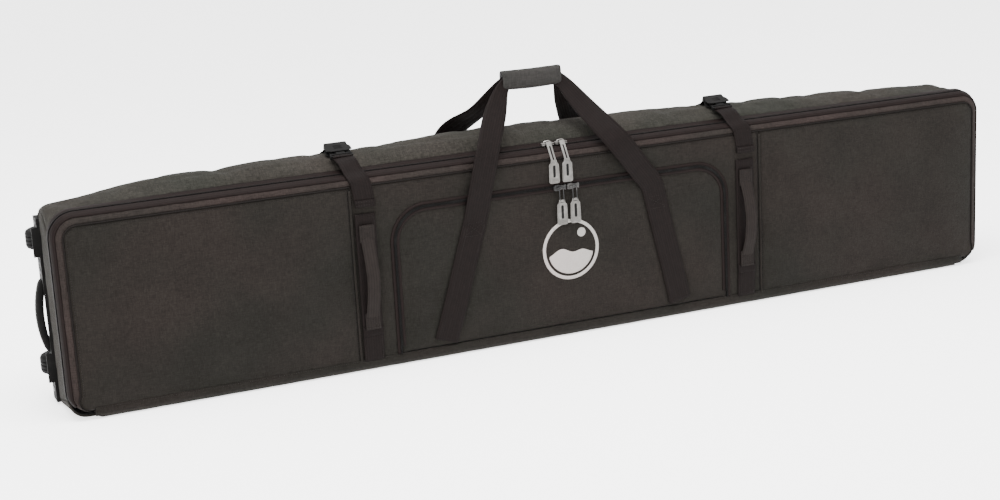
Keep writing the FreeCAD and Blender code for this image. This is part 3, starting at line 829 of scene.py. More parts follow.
# One cloth run for every panel: sewn edges are held, the middle fills out a little.
def relaxPanels():
    ready = []
    for name, panel in panels.items():
        piece = panel["piece"]
        flat = flatOf(piece.data)
        gap, _ = toSeam(flat, panel["border"])
        held = set(np.nonzero(gap < 0.5)[0].tolist())
        for (u0, v0, u1, v1) in panel["quiet"]:
            held |= set(np.nonzero((flat[:, 0] > u0) & (flat[:, 0] < u1) & (flat[:, 1] > v0)
                                   & (flat[:, 1] < v1))[0].tolist())
        group = piece.vertex_groups.new(name="sewn")
        group.add(sorted(held), 1.0, "REPLACE")
        cloth = piece.modifiers.new("cloth", "CLOTH")
        what = cloth.settings
        what.quality, what.mass, what.air_damping = 4, 0.25, 2.0
        what.tension_stiffness = what.compression_stiffness = 25
        what.shear_stiffness, what.bending_stiffness = 12, 1.5
        what.vertex_group_mass = "sewn"
        what.shrink_min = -panel["slack"]
        what.use_pressure, what.uniform_pressure_force = True, panel["pressure"]
        what.effector_weights.gravity = 0
        cloth.point_cache.frame_start, cloth.point_cache.frame_end = 1, clothFrames
        ready.append((panel, np.array([tuple(v.co) for v in piece.data.vertices])))
    scene = bpy.context.scene
    for frameNumber in range(1, clothFrames + 1):
        scene.frame_set(frameNumber)
    graph = bpy.context.evaluated_depsgraph_get()
    for panel, rest in ready:
        piece = panel["piece"]
        moved = np.zeros(len(rest) * 3)
        piece.evaluated_get(graph).data.vertices.foreach_get("co", moved)
        shift = moved.reshape(-1, 3) - rest
        size = np.linalg.norm(shift, axis=1)
        cap = panel["cap"] * mm
        shift *= (np.tanh(size / cap) * cap / np.maximum(size, 1e-9))[:, None]
        if panel["flatBy"]:
            shift *= bandFactor(flatOf(piece.data), panel)[:, None]
        panel["moved"] = round(float(size.max() / mm), 1)
        piece.modifiers.clear()
        piece.vertex_groups.clear()
        piece.data.vertices.foreach_set("co", (rest + shift).ravel())
    scene.frame_set(1)


# Halves the mesh, then sinks its seams and puckers the cloth along them.
def dressPanel(name, panel):
    piece = panel["piece"]
    settleMesh(halved(piece, boundary_smooth="PRESERVE_CORNERS", uv_smooth="NONE"))
    mesh = piece.data
    flat = flatOf(mesh)
    gap, along = toSeam(flat, panel["border"])
    co = np.array([tuple(v.co) for v in mesh.vertices])
    normals = np.array([tuple(v.normal) for v in mesh.vertices])
    lift = -panel["dip"] * np.exp(-(gap / 4.0) ** 2)
    if panel["seams"]:
        gap2, along2 = toSeam(flat, segmentsOf([list(s) for s in panel["seams"]], False))
        lift -= 1.2 * np.exp(-(gap2 / 5.0) ** 2)
        nearer = gap2 < gap
        gap, along = np.where(nearer, gap2, gap), np.where(nearer, along2, along)
    wave = np.array([noise.noise(Vector((a / 11, g / 60, 3.1))) for a, g in zip(along, gap)])
    lift += panel["pucker"] * wave * np.exp(-gap / 14) * np.clip(gap / 4, 0, 1)
    size = panel["softSize"]
    cloud = np.array([noise.noise(Vector((p[0] / size, p[1] / size * 1.6, 7.7)))
                      + 0.5 * noise.noise(Vector((p[0] / size * 2.3, p[1] / size * 2.9, 1.3)))
                      for p in flat])
    lift += panel["soft"] * cloud * np.clip(gap / 30, 0, 1)
    lift += panel["bulge"] * (1 - np.exp(-(gap / 62) ** 1.6))
    if panel["flatBy"]:
        lift *= bandFactor(flat, panel)
    if "folds" in panel:
        lift += panel["folds"](flat, gap)
    mesh.vertices.foreach_set("co", (co + normals * (lift * mm)[:, None]).ravel())
    mesh.update()
    addWall(piece, panel["thick"], lined=True)


def away(x, y, z):
    return lambda point: Vector((x, y, z))


pocketShape = {"half": 352.0, "low": 22.0, "high": 302.0, "corner": 65.0, "gap": 1.5, "band": 8.0}
strapX = {"left": -407.0, "right": 397.0}
foot, seam, rimRun, endHigh = (bagShape[key] for key in ("lidFoot", "seam", "rimRun", "endHigh"))
pocketHole = archLine(pocketShape["half"], pocketShape["low"], pocketShape["high"], pocketShape["corner"])
flapHalf, flapTop = pocketShape["half"] - 1.5, pocketShape["high"] - 1.5
flapEdge = archLine(flapHalf, pocketShape["low"] + 2, flapTop, pocketShape["corner"] - 1.5)
leftEdge = [p for p in lidEdge if p[0] < -seam - 4]
rightEdge = [p for p in lidEdge if p[0] > seam + 4]
lidTopZ = bagShape["lidTop"] - bagShape["rim"]
frontPlace = lambda u, v: Vector((u, -face, v))
carryFeet = {"frontLeft": ((-262, 34), (-190, 258)), "frontRight": ((243, 34), (192, 258)),
             "backLeft": ((-262, 34), (-200, 258)), "backRight": ((243, 34), (180, 258))}


def strapSides(feet, half=25.0):
    (x0, z0), (x1, z1) = feet
    return [[(x0 + s * half, z0), (x1 + s * half, z1)] for s in (-1, 1)]


for name, outline in (("lidPanelLeft", leftEdge + [(-seam, lidTopZ), (-seam, foot)]),
                      ("lidPanelRight", [(seam, foot), (seam, lidTopZ)] + rightEdge)):
    addPanel(name, outline, frontPlace, away(0, -1, 0), paint["lid"], soft=2.6, softSize=170, cap=4,
             pucker=1.1, bulge=8.0)
centreSeams = [[(strapX[s] + k * 21, foot), (strapX[s] + k * 21, 318)] for s in strapX for k in (-1, 1)]
addPanel("lidPanelCentre", [(-seam, foot), (-seam, lidTopZ), (seam, lidTopZ), (seam, foot)], frontPlace,
         away(0, -1, 0), paint["lid"], holes=[pocketHole], soft=1.8, softSize=110, cap=3, seams=centreSeams,
         bulge=4.5, flatBy=pocketHole)
flapSeams = strapSides(carryFeet["frontLeft"]) + strapSides(carryFeet["frontRight"])
addPanel("pocketFlap", flapEdge, frontPlace, away(0, -1, 0), paint["lid"], soft=2.0, softSize=130, cap=4,
         seams=flapSeams, bulge=5.0, flatBy=flapEdge)
addPanel("lidRim", [(0, 0), (rimReach[-1], 0), (rimReach[-1], rimRun), (0, rimRun)], rimPlace,
         lambda p: Vector((p.x * 0.02, -60, p.z - 190)), paint["rim"], step=8.0, pressure=1.0, cap=2.0,
         dip=1.2, pucker=0.8, soft=0.8, softSize=70)
strapLean = -20.0              # the closing straps lean towards the wheels over the crown
buckleRest = [(strapX[s] + strapLean - 26, -45, strapX[s] + strapLean + 26, 78) for s in strapX]
addPanel("topPanel", [(-1000, -55), (-905, -43), (905, -43), (1000, -55), (1000, face), (-1000, face)],
         topPlace, away(0, 0, 1),
         paint["shell"], pressure=1.5, slack=0.012, cap=5.0, soft=2.0, softSize=160, quiet=buckleRest,
         pucker=1.4)
addPanel("backPanel", [(-924, 2), (-924, 351), (887, 351), (920, 344), (948, 325), (967, 297), (974, 264),
                       (975, 30), (949, 2)],
         lambda u, v: Vector((u, face, v)), away(0, 1, 0), paint["shell"], cap=6, soft=2.2, softSize=180,
         seams=strapSides(carryFeet["backLeft"]) + strapSides(carryFeet["backRight"]), thick=4.0)
footFront, footBack = 36, 169
addPanel("footPanel", [(-1000, footFront), (-930, footFront), (-912, 1), (912, 1), (930, footFront),
                       (1000, footFront), (1000, footBack), (-1000, footBack)], footPlace,
         away(0, -0.3, -1),
         paint["shell"], pressure=0.0, slack=0.002, cap=0.8, soft=0.0, dip=0.4, pucker=0.5, thick=4.0)
addPanel("towEndPanel", [(-55, 0), (face, 0), (face, endHigh), (-55, endHigh)], endPlace(1), away(1, 0, 0),
         paint["shell"], pressure=1.5, cap=4.0, soft=1.5, softSize=90)
addPanel("wheelEndPanel", [(-55, 0), (43.8, 0), (43.8, endHigh), (-55, endHigh)], endPlace(-1),
         away(-1, 0, 0), paint["shell"], pressure=1.0, cap=2.5, soft=1.0, softSize=90)


# Long soft folds that run with the bag over its crowned top.
def topFolds(flat, gap):
    folds = np.array([abs(noise.noise(Vector((u / 330, v / 19, 4.4)))) + 0.6 * noise.noise(
        Vector((u / 120, v / 11, 9.2))) for u, v in flat])
    return 3.4 * (folds - 0.25) * np.clip(gap / 22, 0, 1)


panels["topPanel"]["folds"] = topFolds
relaxPanels()
print("cloth ready", {name: panel["moved"] for name, panel in panels.items()})
for name, panel in panels.items():
    dressPanel(name, panel)
panelBodies = {"pocketFlap": ("pocket_flap", "pocket_flap"), "lidPanelLeft": ("lid", "lid_panel_left"),
               "lidPanelCentre": ("lid", "lid_panel_centre"), "lidPanelRight": ("lid", "lid_panel_right"),
               "lidRim": ("lid", "lid_gusset"), "topPanel": (bodyName, "top_gusset"),
               "backPanel": (bodyName, "back_panel"), "footPanel": (bodyName, "bottom_gusset"),
               "towEndPanel": (bodyName, "tow_end_panel"), "wheelEndPanel": (bodyName, "wheel_end_panel")}
for name, (body, node) in panelBodies.items():
    piece = panels[name]["piece"]
    place(piece, body, "lid_fabric" if body != bodyName else "shell_fabric", node)
print("panels ready")


# where things lie on the cloth
def skinOf(names):
    points, faces = [], []
    for name in names:
        mesh = panels[name]["piece"].data
        start = len(points)
        points += [v.co.copy() for v in mesh.vertices]
        faces += [[start + k for k in polygon.vertices] for polygon in mesh.polygons]
    return BVHTree.FromPolygons(points, faces)


frontSkin = skinOf(["lidPanelLeft", "lidPanelCentre", "lidPanelRight", "pocketFlap"])
backSkin = skinOf(["backPanel"])


def onFront(x, z, lift=0.0):
    hit = frontSkin.ray_cast(Vector((x, -300, z)) * mm, Vector((0, 1, 0)))[0]
    y = -face if hit is None else min(-face + 1.5, hit.y / mm)
    return Vector((x, y - lift, z))


def onBack(x, z, lift=0.0):
    hit = backSkin.ray_cast(Vector((x, 300, z)) * mm, Vector((0, -1, 0)))[0]
    y = face if hit is None else max(face - 1.5, hit.y / mm)
    return Vector((x, y + lift, z))


# Track rows (place, normal, width) for webbing sewn flat on a panel; takes the highest cloth across it.
def laidRows(line, half, onSkin, lift, step=6.0):
    rows = []
    for x, z in evenly([(a, b, 0) for a, b in line], step)[:, :2]:
        spots = [onSkin(x + k * half, z, lift) for k in (-0.9, -0.45, 0, 0.45, 0.9)]
        out = -1 if spots[0].y < 0 else 1
        y = out * max(out * spot.y for spot in spots)
        rows.append((x, y, z, 0, out, 0, half * 2))
    ys = np.array([row[1] for row in rows])
    ys = np.convolve(np.pad(ys, 2, mode="edge"), np.ones(5) / 5, mode="valid")
    return [(*row[:1], float(y), *row[2:]) for row, y in zip(rows, ys)]


def webbingPiece(name, rows, thick=2.0, material="webbing", step=6.0, columns=7, ripple=0.25):
    track = smoothTrack(rows, step)
    centres = [Vector(row[:3]) for row in track]
    normals = [Vector(row[3:6]).normalized() for row in track]
    for k, centre in enumerate(centres):
        centres[k] = centre + normals[k] * ripple * noise.noise(centre / 24)
    return ribbon(name, centres, normals, [float(row[6]) for row in track], thick, paint[material], columns)


stitchLines = {}


def sewLine(body, points):
    stitchLines.setdefault(body, []).append(evenly(points, 5.0).tolist())


# The runs of a sewn box with a cross in it.
def crossed(corner):
    return corner + corner[:1], [corner[0], corner[2]], [corner[1], corner[3]]


# Such a box laid on a skin.
def sewBox(body, onSkin, x, z, wide, high, lift, lean=0.0):
    corner = [(x + a * wide / 2 + b * lean, z + b * high / 2)
              for a, b in ((-1, -1), (1, -1), (1, 1), (-1, 1))]
    for run in crossed(corner):
        sewLine(body, [onSkin(px, pz, lift) for px, pz in evenly([(a, b, 0) for a, b in run], 4.0)[:, :2]])


# main zip
zipSetup = {"pitch": 2.1, "coil": 1.7, "reach": 3.2, "height": 1.5, "lift": 1.3, "tape": 9.0}


# One side of a zip: folded tape beside the line and coil teeth along it.
def runZip(name, line, out, across, side, body, node, laid=None):
    width, slot = zipSetup["tape"], "zip_tape"
    section = ((0.6, -0.6), (0.8, 0.7), (width * 0.5, 1.1), (width - 0.6, 0.9), (width, -0.8))
    rows = [[point + sideways * (side * a) + normal * b for a, b in section]
            for point, normal, sideways in zip(line, out, across)]
    tape = gridPiece(name + "Tape", laid or rows, paint["tape"])
    place(addWall(faceAlong(tape, out[len(out) // 2]), 0.8), body, slot, node)
    coil = [point + sideways * (side * 1.1) + normal * zipSetup["lift"]
            for point, normal, sideways in zip(line, out, across)]
    upright = abs(across[len(across) // 2].y) > 0.5
    reachIn, high = zipSetup["reach"] * mm, zipSetup["height"] * mm
    teeth = alongLines(name + "Teeth", coilTree, [coil], {
        "Pitch": zipSetup["pitch"] * mm, "Length": zipSetup["coil"] * mm,
        "Width": reachIn if upright else high, "Height": high if upright else reachIn,
        "Seed": 5, "Material": paint["plastic"]})
    place(teeth, body, slot)


zipRun = [row for row in rimLine if row[4] > 8]
zipOut = [Vector((row[2], 0, row[3])) for row in zipRun]
zipLine = [Vector((row[0], bagShape["zipPlane"], row[1])) + n * 0.9 for row, n in zip(zipRun, zipOut)]


# Tape laid round the lid's rim, from the coil forwards.
def lidTape(row):
    x, z, nx, nz, inset, deep = row
    spots = []
    for v, lift in ((31.2, 0.2), (31, 1.5), (26, 1.7), (20, 1.7), (14.5, 1.5), (13.8, -0.4)):
        angle = math.pi / 2 * v / bagShape["rimRun"]
        inward = inset * (1 - math.sin(angle))
        away = Vector((nx * deep * math.sin(angle), -inset * math.cos(angle), nz * deep * math.sin(angle)))
        away = away.normalized() if away.length else Vector((nx, 0, nz))
        spots.append(Vector((x - nx * inward, deep * (1 - math.cos(angle)) - face,
                             z - nz * inward)) + away * lift)
    return spots


# Tape laid from the coil backwards over the crown, or down the ends.
def bodyTape(point, out):
    spots = []
    for a, lift in ((0.6, -0.6), (0.8, 1.2), (5, 1.5), (9.5, 1.6), (13.5, 1.3), (15, -5.0)):
        spot = point + Vector((0, a, 0)) + out * lift
        along = max(-935, min(935, spot.x))
        spots.append(spot + out * max(0, out.z) * (crownZ(along, spot.y) - crownZ(along, -55) + 0.8))
    return spots


runZip("lidZip", zipLine, zipOut, [Vector((0, 1, 0))] * len(zipLine), -1, "lid", "lid_zip",
       [lidTape(row) for row in zipRun])
runZip("bodyZip", zipLine, zipOut, [Vector((0, 1, 0))] * len(zipLine), 1, bodyName, "body_zip",
       [bodyTape(point, out) for point, out in zip(zipLine, zipOut)])

# pocket zip on the lid's face
seamGap = pocketShape["gap"] / 2
pocketRun = archLine(pocketShape["half"] - seamGap, pocketShape["low"] + 2, pocketShape["high"] - seamGap,
                     pocketShape["corner"] - seamGap, 16)
pocketRun = [Vector(row) for row in evenly([(x, -face - 0.9, z) for x, z in pocketRun], 7.0)]
pocketOut = [Vector((0, -1, 0))] * len(pocketRun)
pocketSide = []
for k, point in enumerate(pocketRun):
    ahead = (pocketRun[min(k + 1, len(pocketRun) - 1)] - pocketRun[max(k - 1, 0)]).normalized()
    pocketSide.append(Vector((-ahead.z, 0, ahead.x)))
runZip("pocketZipOuter", pocketRun, pocketOut, pocketSide, 1, "lid", "pocket_zip_lid")
flapRun = slice(2, -2)                     # the flap's own side stops short of the fold at its foot
runZip("pocketZipInner", pocketRun[flapRun], pocketOut[flapRun], pocketSide[flapRun], -1, "pocket_flap",
       "pocket_zip_flap")

# piping and seam bindings
for k, x in enumerate((-seam, seam)):
    path = [onFront(x, z, 1.2) + Vector((0.5 * noise.noise(Vector((z / 40, k, 0))), 0, 0))
            for z in range(20, 356, 7)]
    pipe = tube("lidPiping" + ("Left", "Right")[k], path, 2.3, paint["lid"], 10)
    place(pipe, "lid", "piping", *(["lid_piping"] if k == 0 else []))
    for off in (-4.5, 4.5):
        sewLine("lid", [onFront(x + off, z, 0.35) for z in range(22, 354, 6)])
rimSeam = [Vector((x, -face - 0.2, z)) for x, z in lidEdge]
bead = tube("rimSeamBead", [Vector(row) for row in evenly(rimSeam, 8.0)], 1.3, paint["bound"], 6)
place(bead, "lid", "piping")
ring = [(x - nx * (inset + 6.0), z - nz * (inset + 6.0)) for x, z, nx, nz, inset, deep in rimLine[6:-6]]
sewLine("lid", [onFront(x, z, 0.3) for x, z in ring])
hingeLine = [Vector((x, -77.2, 16.0)) for x in range(-934, 936, 11)]
hinge = tube("hingePiping", hingeLine, 2.1, paint["bound"], 8)
place(hinge, "lid", "piping", "hinge_piping")
strip = []
for x in range(-932, 934, 14):
    strip.append([Vector((x, -76.0, 6.5)), Vector((x, -77.8, 10.5)), Vector((x, -78.9, 14.0)),
                  Vector((x, -79.1, 17.0)), Vector((x, -78.9, 20.0)), Vector((x, -78.2, 24.0))])
hingeStrip = faceAlong(gridPiece("hingeStrip", strip, paint["lid"]), Vector((0, -1, 0)))
addWall(hingeStrip, 0.9, 1)
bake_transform(hingeStrip)
sewLine("lid", [Vector((x, -80.0, 21.5)) for x in range(-925, 926, 6)])

edgeLines = [[topPlace(u, face) + Vector((0, -0.6, -0.4)) for u in range(-920, 1001, 12)],
             [Vector((x, face - 0.4, 3.2)) for x in range(-918, 945, 12)],
             [onBack(971, z, 1.2) for z in range(30, 262, 10)]]
edges = joined("edgePiping", [tube("pipe%d" % k, line, (3.8, 3.1, 2.4)[k], paint["bound"], 10)
                               for k, line in enumerate(edgeLines)])
place(edges, bodyName, "piping", "edge_piping")
sewLine(bodyName, [onBack(x, 341, 0.4) for x in range(-915, 905, 6)])
sewLine(bodyName, [topPlace(u, 72) + Vector((0, 0.5, 0.5)) for u in range(-900, 871, 6)])
print("zips and piping ready")

# carry handles
handleSetup = {"wide": 48.0, "folded": 26.0, "thick": 2.2, "middle": 504.0}
foldedWide, full, middle = handleSetup["folded"], handleSetup["wide"], handleSetup["middle"]
frontMiddle = [(-163, -92, 378, 0, -1, 0, full), (-117, -34, 448, 0, -0.87, 0.5, 44),
               (-84, -6, middle - 9, 0, -1, 0, foldedWide), (-58, -6, middle, 0, -1, 0, foldedWide),
               (8, -6, middle, 0, -1, 0, foldedWide), (34, -6, middle - 9, 0, -1, 0, foldedWide),
               (66, -34, 448, 0, -0.87, 0.5, 44), (112, -92, 378, 0, -1, 0, full),
               (158, -88.5, 318, 0, -1, 0, full), (184, -85.5, 284, 0, -1, 0, full)]
rearMiddle = [(-178, 91, 384, 0, 1, 0, full), (-122, 38, 446, 0, 0.8, 0.6, 44),
              (-84, 6, middle - 9, 0, 1, 0, foldedWide), (-58, 6, middle, 0, 1, 0, foldedWide),
              (8, 6, middle, 0, 1, 0, foldedWide), (34, 6, middle - 9, 0, 1, 0, foldedWide),
              (64, 38, 446, 0, 0.8, 0.6, 44), (104, 91, 384, 0, 1, 0, full),
              (150, 88, 322, 0, 1, 0, full), (173, 85.6, 286, 0, 1, 0, full)]


def carryLoop(name, left, right, middleRows, onSkin, sewnBody, nodes):
    rows = laidRows(carryFeet[left], full / 2, onSkin, 1.4, 14.0) + middleRows
    rows += laidRows(carryFeet[right], full / 2, onSkin, 1.4, 14.0)[::-1]
    loop = webbingPiece(name, rows, handleSetup["thick"], step=5.0, columns=9)
    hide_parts(*nodes)
    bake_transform(loop)
    for key in (left, right):
        (x0, z0), (x1, z1) = carryFeet[key]
        for off in (-20, 20):
            line = evenly([(x0 + off, z0 + 3, 0), (x1 + off, z1 - 12, 0)], 5.0)
            sewLine(sewnBody, [onSkin(x - off * 0.15, z, 2.9) for x, z, _ in line])
        lean = (x1 - x0) / (z1 - z0) * 13
        sewBox(sewnBody, onSkin, x1 - lean * 0.8, z1 - 14, 38, 25, 2.9, lean)
    return loop


carryLoop("frontCarryLoop", "frontLeft", "frontRight", frontMiddle, onFront, "pocket_flap",
          ["carry_webbing", "front_handle"])
carryLoop("rearCarryLoop", "backLeft", "backRight", rearMiddle, onBack, bodyName,
          ["rear_carry_webbing", "rear_handle"])


# Half of the padded grip: it folds over the loop's top and round under it, thick at its hems.
def gripHalf(name, out, body, *nodes):
    x0, x1, rows = -87.0, 37.0, []
    for k in range(25):
        t = k / 24
        x = x0 + (x1 - x0) * t
        hem = 1.0 - 0.9 * max(0.0, 1 - min(t, 1 - t) * 14)
        swell = 1.2 * math.sin(math.pi * t) + 0.5 * noise.noise(Vector((x / 15, out, 0)))
        drop = 1.6 * math.sin(math.pi * t)
        row = []
        for j in range(13):
            a = math.pi * (0.5 - j / 12)
            depth = (10.5 + swell) * abs(math.cos(a)) ** 0.6
            high = (18.5 + swell * 0.6) * (1 if a >= 0 else -1) * abs(math.sin(a)) ** 0.75
            row.append(Vector((x, out * (0.4 + depth * (0.9 + 0.1 * hem)), middle + 1.5 - drop + high)))
        rows.append(row)
    half = faceAlong(gridPiece(name, rows, [paint["grip"], paint["lining"]]), Vector((0, out, 0)))
    place(halved(addWall(half, 3.2, lined=True)), body, "grip_fabric", *nodes)
    for t in (0.06, 0.94):
        x = x0 + (x1 - x0) * t
        sewLine(body, [Vector((x, out * (12.3 + abs(z) * -0.04), middle + z)) for z in range(-14, 17, 4)])
    return half


gripHalf("gripWrapBack", 1, "rear_handle", "grip_wrap")
gripHalf("gripWrapFront", -1, "front_handle")

# compression straps, buckles and grab handles
buckleTilt = math.radians(20)
buckleSetup = {"half": 25.0, "mouth": -8.5, "back": 23.5, "high": 10.5}


# A step in a flat buckle's own place, turned on to the crown's front slope.
def tilted(y, z):
    return (y * math.cos(buckleTilt) - z * math.sin(buckleTilt),
            y * math.sin(buckleTilt) + z * math.cos(buckleTilt))


# A point given in a flat buckle's own place, set on the crown at x.
def onBuckle(x, across, y, z):
    seat = buckleSeats[round(x)]
    y, z = tilted(y, z)
    return Vector((x + across, seat.y + y, seat.z + z))


buckleSeats = {}
for side, x in strapX.items():
    low, high = (Vector(c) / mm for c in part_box("buckle_socket_" + side))
    # the socket's rear top edge is its highest point
    seatZ = high.z - buckleSetup["back"] * math.sin(buckleTilt) - buckleSetup["high"] * math.cos(buckleTilt)
    seatY = high.y - buckleSetup["back"] * math.cos(buckleTilt)
    buckleSeats[round(x + strapLean)] = Vector((x + strapLean, seatY, seatZ))
strapSetup = {"wide": 39.0, "thick": 2.0, "hem": 318.0, "foot": 20.0}
for side, x in strapX.items():
    over = x + strapLean
    sewn = laidRows([(x, strapSetup["foot"]), (x, strapSetup["hem"] - 14)], 20, onFront, 1.2, 12.0)
    lower = webbingPiece("compressionStrap" + side.title(), sewn, strapSetup["thick"])
    place(lower, "lid", "webbing", *(["compression_webbing"] if side == "left" else []))
    wide = strapSetup["wide"]
    start = onFront(x, strapSetup["hem"], 2.6)
    draped = [(x + 1, start.y, strapSetup["hem"], 0, -1, 0, wide), (x, start.y - 0.6, 334, 0, -1, 0, wide),
              (x - 2, -82.6, 350, 0, -1, 0, wide), (x - 4, -80.8, 364, 0, -0.94, 0.34, wide),
              (x - 7, -76.0, 372.5, 0, -0.77, 0.64, wide), (x - 11, -66, 380.5, 0, -0.6, 0.8, wide)]
    draped += [(over + shift, *onBuckle(over, 0, y, 5.0)[1:], 0, -0.5, 0.86, wide)
               for shift, y in ((3.5, -42), (0, -23))]
    upper = webbingPiece("closingStrap" + side.title(), draped, strapSetup["thick"])
    hemRows = [(x + 1, start.y - 2.1, strapSetup["hem"] + k, 0, -1, 0, wide + 1) for k in (-1, 6, 12)]
    hem = webbingPiece("hem", hemRows, 2.4, step=3.0)
    upper = joined("closingStrap" + side.title(), [upper, hem])
    place(upper, "lid", "webbing", *(["front_straps"] if side == "left" else []))
    for off in (-16.5, 16.5):
        sewLine("lid", [onFront(x + off, z, 2.5) for z in range(24, 300, 6)])
    for up in (3, 9):
        sewLine("lid", [(x + k, start.y - 3.6, strapSetup["hem"] + up) for k in range(-16, 19, 5)])
    # back half of the strap, over the crown and down the back panel
    rear = [(*onBuckle(over, 0, 20.5, 3.2), 0, -0.1, 1, wide),
            (over, 22, crownZ(over, 22) + 4.0, 0, 0.2, 0.98, wide),
            (over, 34, crownZ(over, 34) + 3.0, 0, 0.4, 0.92, wide),
            (over, 48, crownZ(over, 48) + 3.2, 0, 0.55, 0.83, wide),
            (over, 66, crownZ(over, 66) + 4.2, 0, 0.7, 0.7, wide),
            (over, 80, crownZ(over, 76) + 3.0, 0, 0.9, 0.44, wide), (over, 86.5, 344, 0, 1, 0, wide)]
    rear += [(r[0], max(r[1], 82.0), *r[2:])
             for r in laidRows([(over, 322), (over, 16)], 20, onBack, 1.6, 14.0)]
    back = webbingPiece("backStrap" + side.title(), rear, strapSetup["thick"])
    place(back, bodyName, "webbing", *(["rear_straps"] if side == "left" else []))
    for off in (-16, 16):
        sewLine(bodyName, [Vector((over + off, max(onBack(over + off, z, 3.0).y, 83.6), z))
                           for z in range(20, 320, 6)])

    # grab handle: a webbing bow between two sewn patches
    ends = {"low": onFront(x, 100, 4.2), "high": onFront(x, 267, 4.2)}
    bow = [(x, ends["high"].y, 283, 0, -1, 0, 27), (x, ends["high"].y - 0.4, 262, 0, -1, 0, 27),
           (x, -92, 246, 0, -0.9, 0.4, 26), (x, -101.5, 218, 0, -0.97, 0.2, 25),
           (x + 1, -105, 182, 0, -1, 0, 25),
           (x, -101.5, 146, 0, -0.97, -0.2, 25), (x, -92, 119, 0, -0.9, -0.4, 26),
           (x, ends["low"].y - 0.4, 102, 0, -1, 0, 27), (x, ends["low"].y, 83, 0, -1, 0, 27)]
    grab = webbingPiece("grabBow" + side.title(), bow, 3.4, material="grab", step=4.0)
    patches = []
    for label, z in (("Low", 99), ("High", 267)):
        spot = onFront(x, z, 6.6)
        rows = [(x, spot.y, z + k, 0, -1, 0, 30) for k in (-16, -8, 0, 8, 16)]
        patches.append(webbingPiece("patch", rows, 1.6, material="grab", step=4.0))
        high = spot.y - 1.3
        corner = [(x - 12, high, z - 13), (x + 12, high, z - 13), (x + 12, high, z + 13),
                  (x - 12, high, z + 13)]
        for run in crossed(corner):
            sewLine("lid", run)
    anchor = onFront(x, 78, 3.0)
    patches.append(webbingPiece("anchor", [(x, anchor.y, 78 + k, 0, -1, 0, 40) for k in (-9, 0, 9)], 1.6,
                                step=4.0))
    grab = joined("grabHandle" + side.title(), [grab] + patches)
    place(grab, "lid", "webbing", "grab_grip_" + side)
print("webbing ready")

# buckles
# A closed ring of rod through a loop of points.
def ringPiece(name, line, radius, material, sides=8):
    rows = []
    for k, point in enumerate(line):
        along = (line[(k + 1) % len(line)] - line[k - 1]).normalized()
        first = Vector((0, 0, 1)) if abs(along.z) < 0.9 else Vector((0, 1, 0))
        first = (first - along * first.dot(along)).normalized()
        second = along.cross(first)
        rows.append([point + (first * math.cos(a) + second * math.sin(a)) * radius
                     for a in (2 * math.pi * j / sides for j in range(sides))])
    return faceOut(gridPiece(name, rows, material, closeAcross=True, closeAlong=True))


# A flat shape given thickness with softened rims; at turns (a, b, height) into a place.
def outlineBlock(name, outline, low, high, material, size=1.0, at=None):
    work = bmesh.new()
    at = at or (lambda a, b, c: Vector((a, b, c)))
    bottom = [work.verts.new((a, b, low)) for a, b in outline]
    top = [work.verts.new((a, b, high)) for a, b in outline]
    count = len(outline)
    work.faces.new(list(reversed(bottom)))
    work.faces.new(top)
    for k in range(count):
        work.faces.new((bottom[k], bottom[(k + 1) % count], top[(k + 1) % count], top[k]))
    bmesh.ops.recalc_face_normals(work, faces=work.faces)
    if size:
        rims = [edge for edge in work.edges if abs(edge.verts[0].co.z - edge.verts[1].co.z) < 1e-6]
        bmesh.ops.bevel(work, geom=rims, offset=size, segments=2, profile=0.5, affect="EDGES",
                        clamp_overlap=True)
    for vert in work.verts:
        vert.co = at(*vert.co) * mm
    bmesh.ops.recalc_face_normals(work, faces=work.faces)
    return fromWork(name, work, [material])


def roundedRect(x0, x1, y0, y1, radius, steps=4):
    line = []
    for cx, cy, start in ((x1 - radius, y1 - radius, 0), (x0 + radius, y1 - radius, 90),
                          (x0 + radius, y0 + radius, 180), (x1 - radius, y0 + radius, 270)):
        for k in range(steps + 1):
            a = math.radians(start + 90 * k / steps)
            line.append((cx + radius * math.cos(a), cy + radius * math.sin(a)))
    return line


# Tilts a buckle part drawn flat about the origin and sets it on the crown.
def settleBuckle(piece, x):
    turn = Matrix.Rotation(buckleTilt, 4, "X")
    piece.data.transform(Matrix.Translation(onBuckle(x, 0, 0, 0) * mm) @ turn)
    return piece


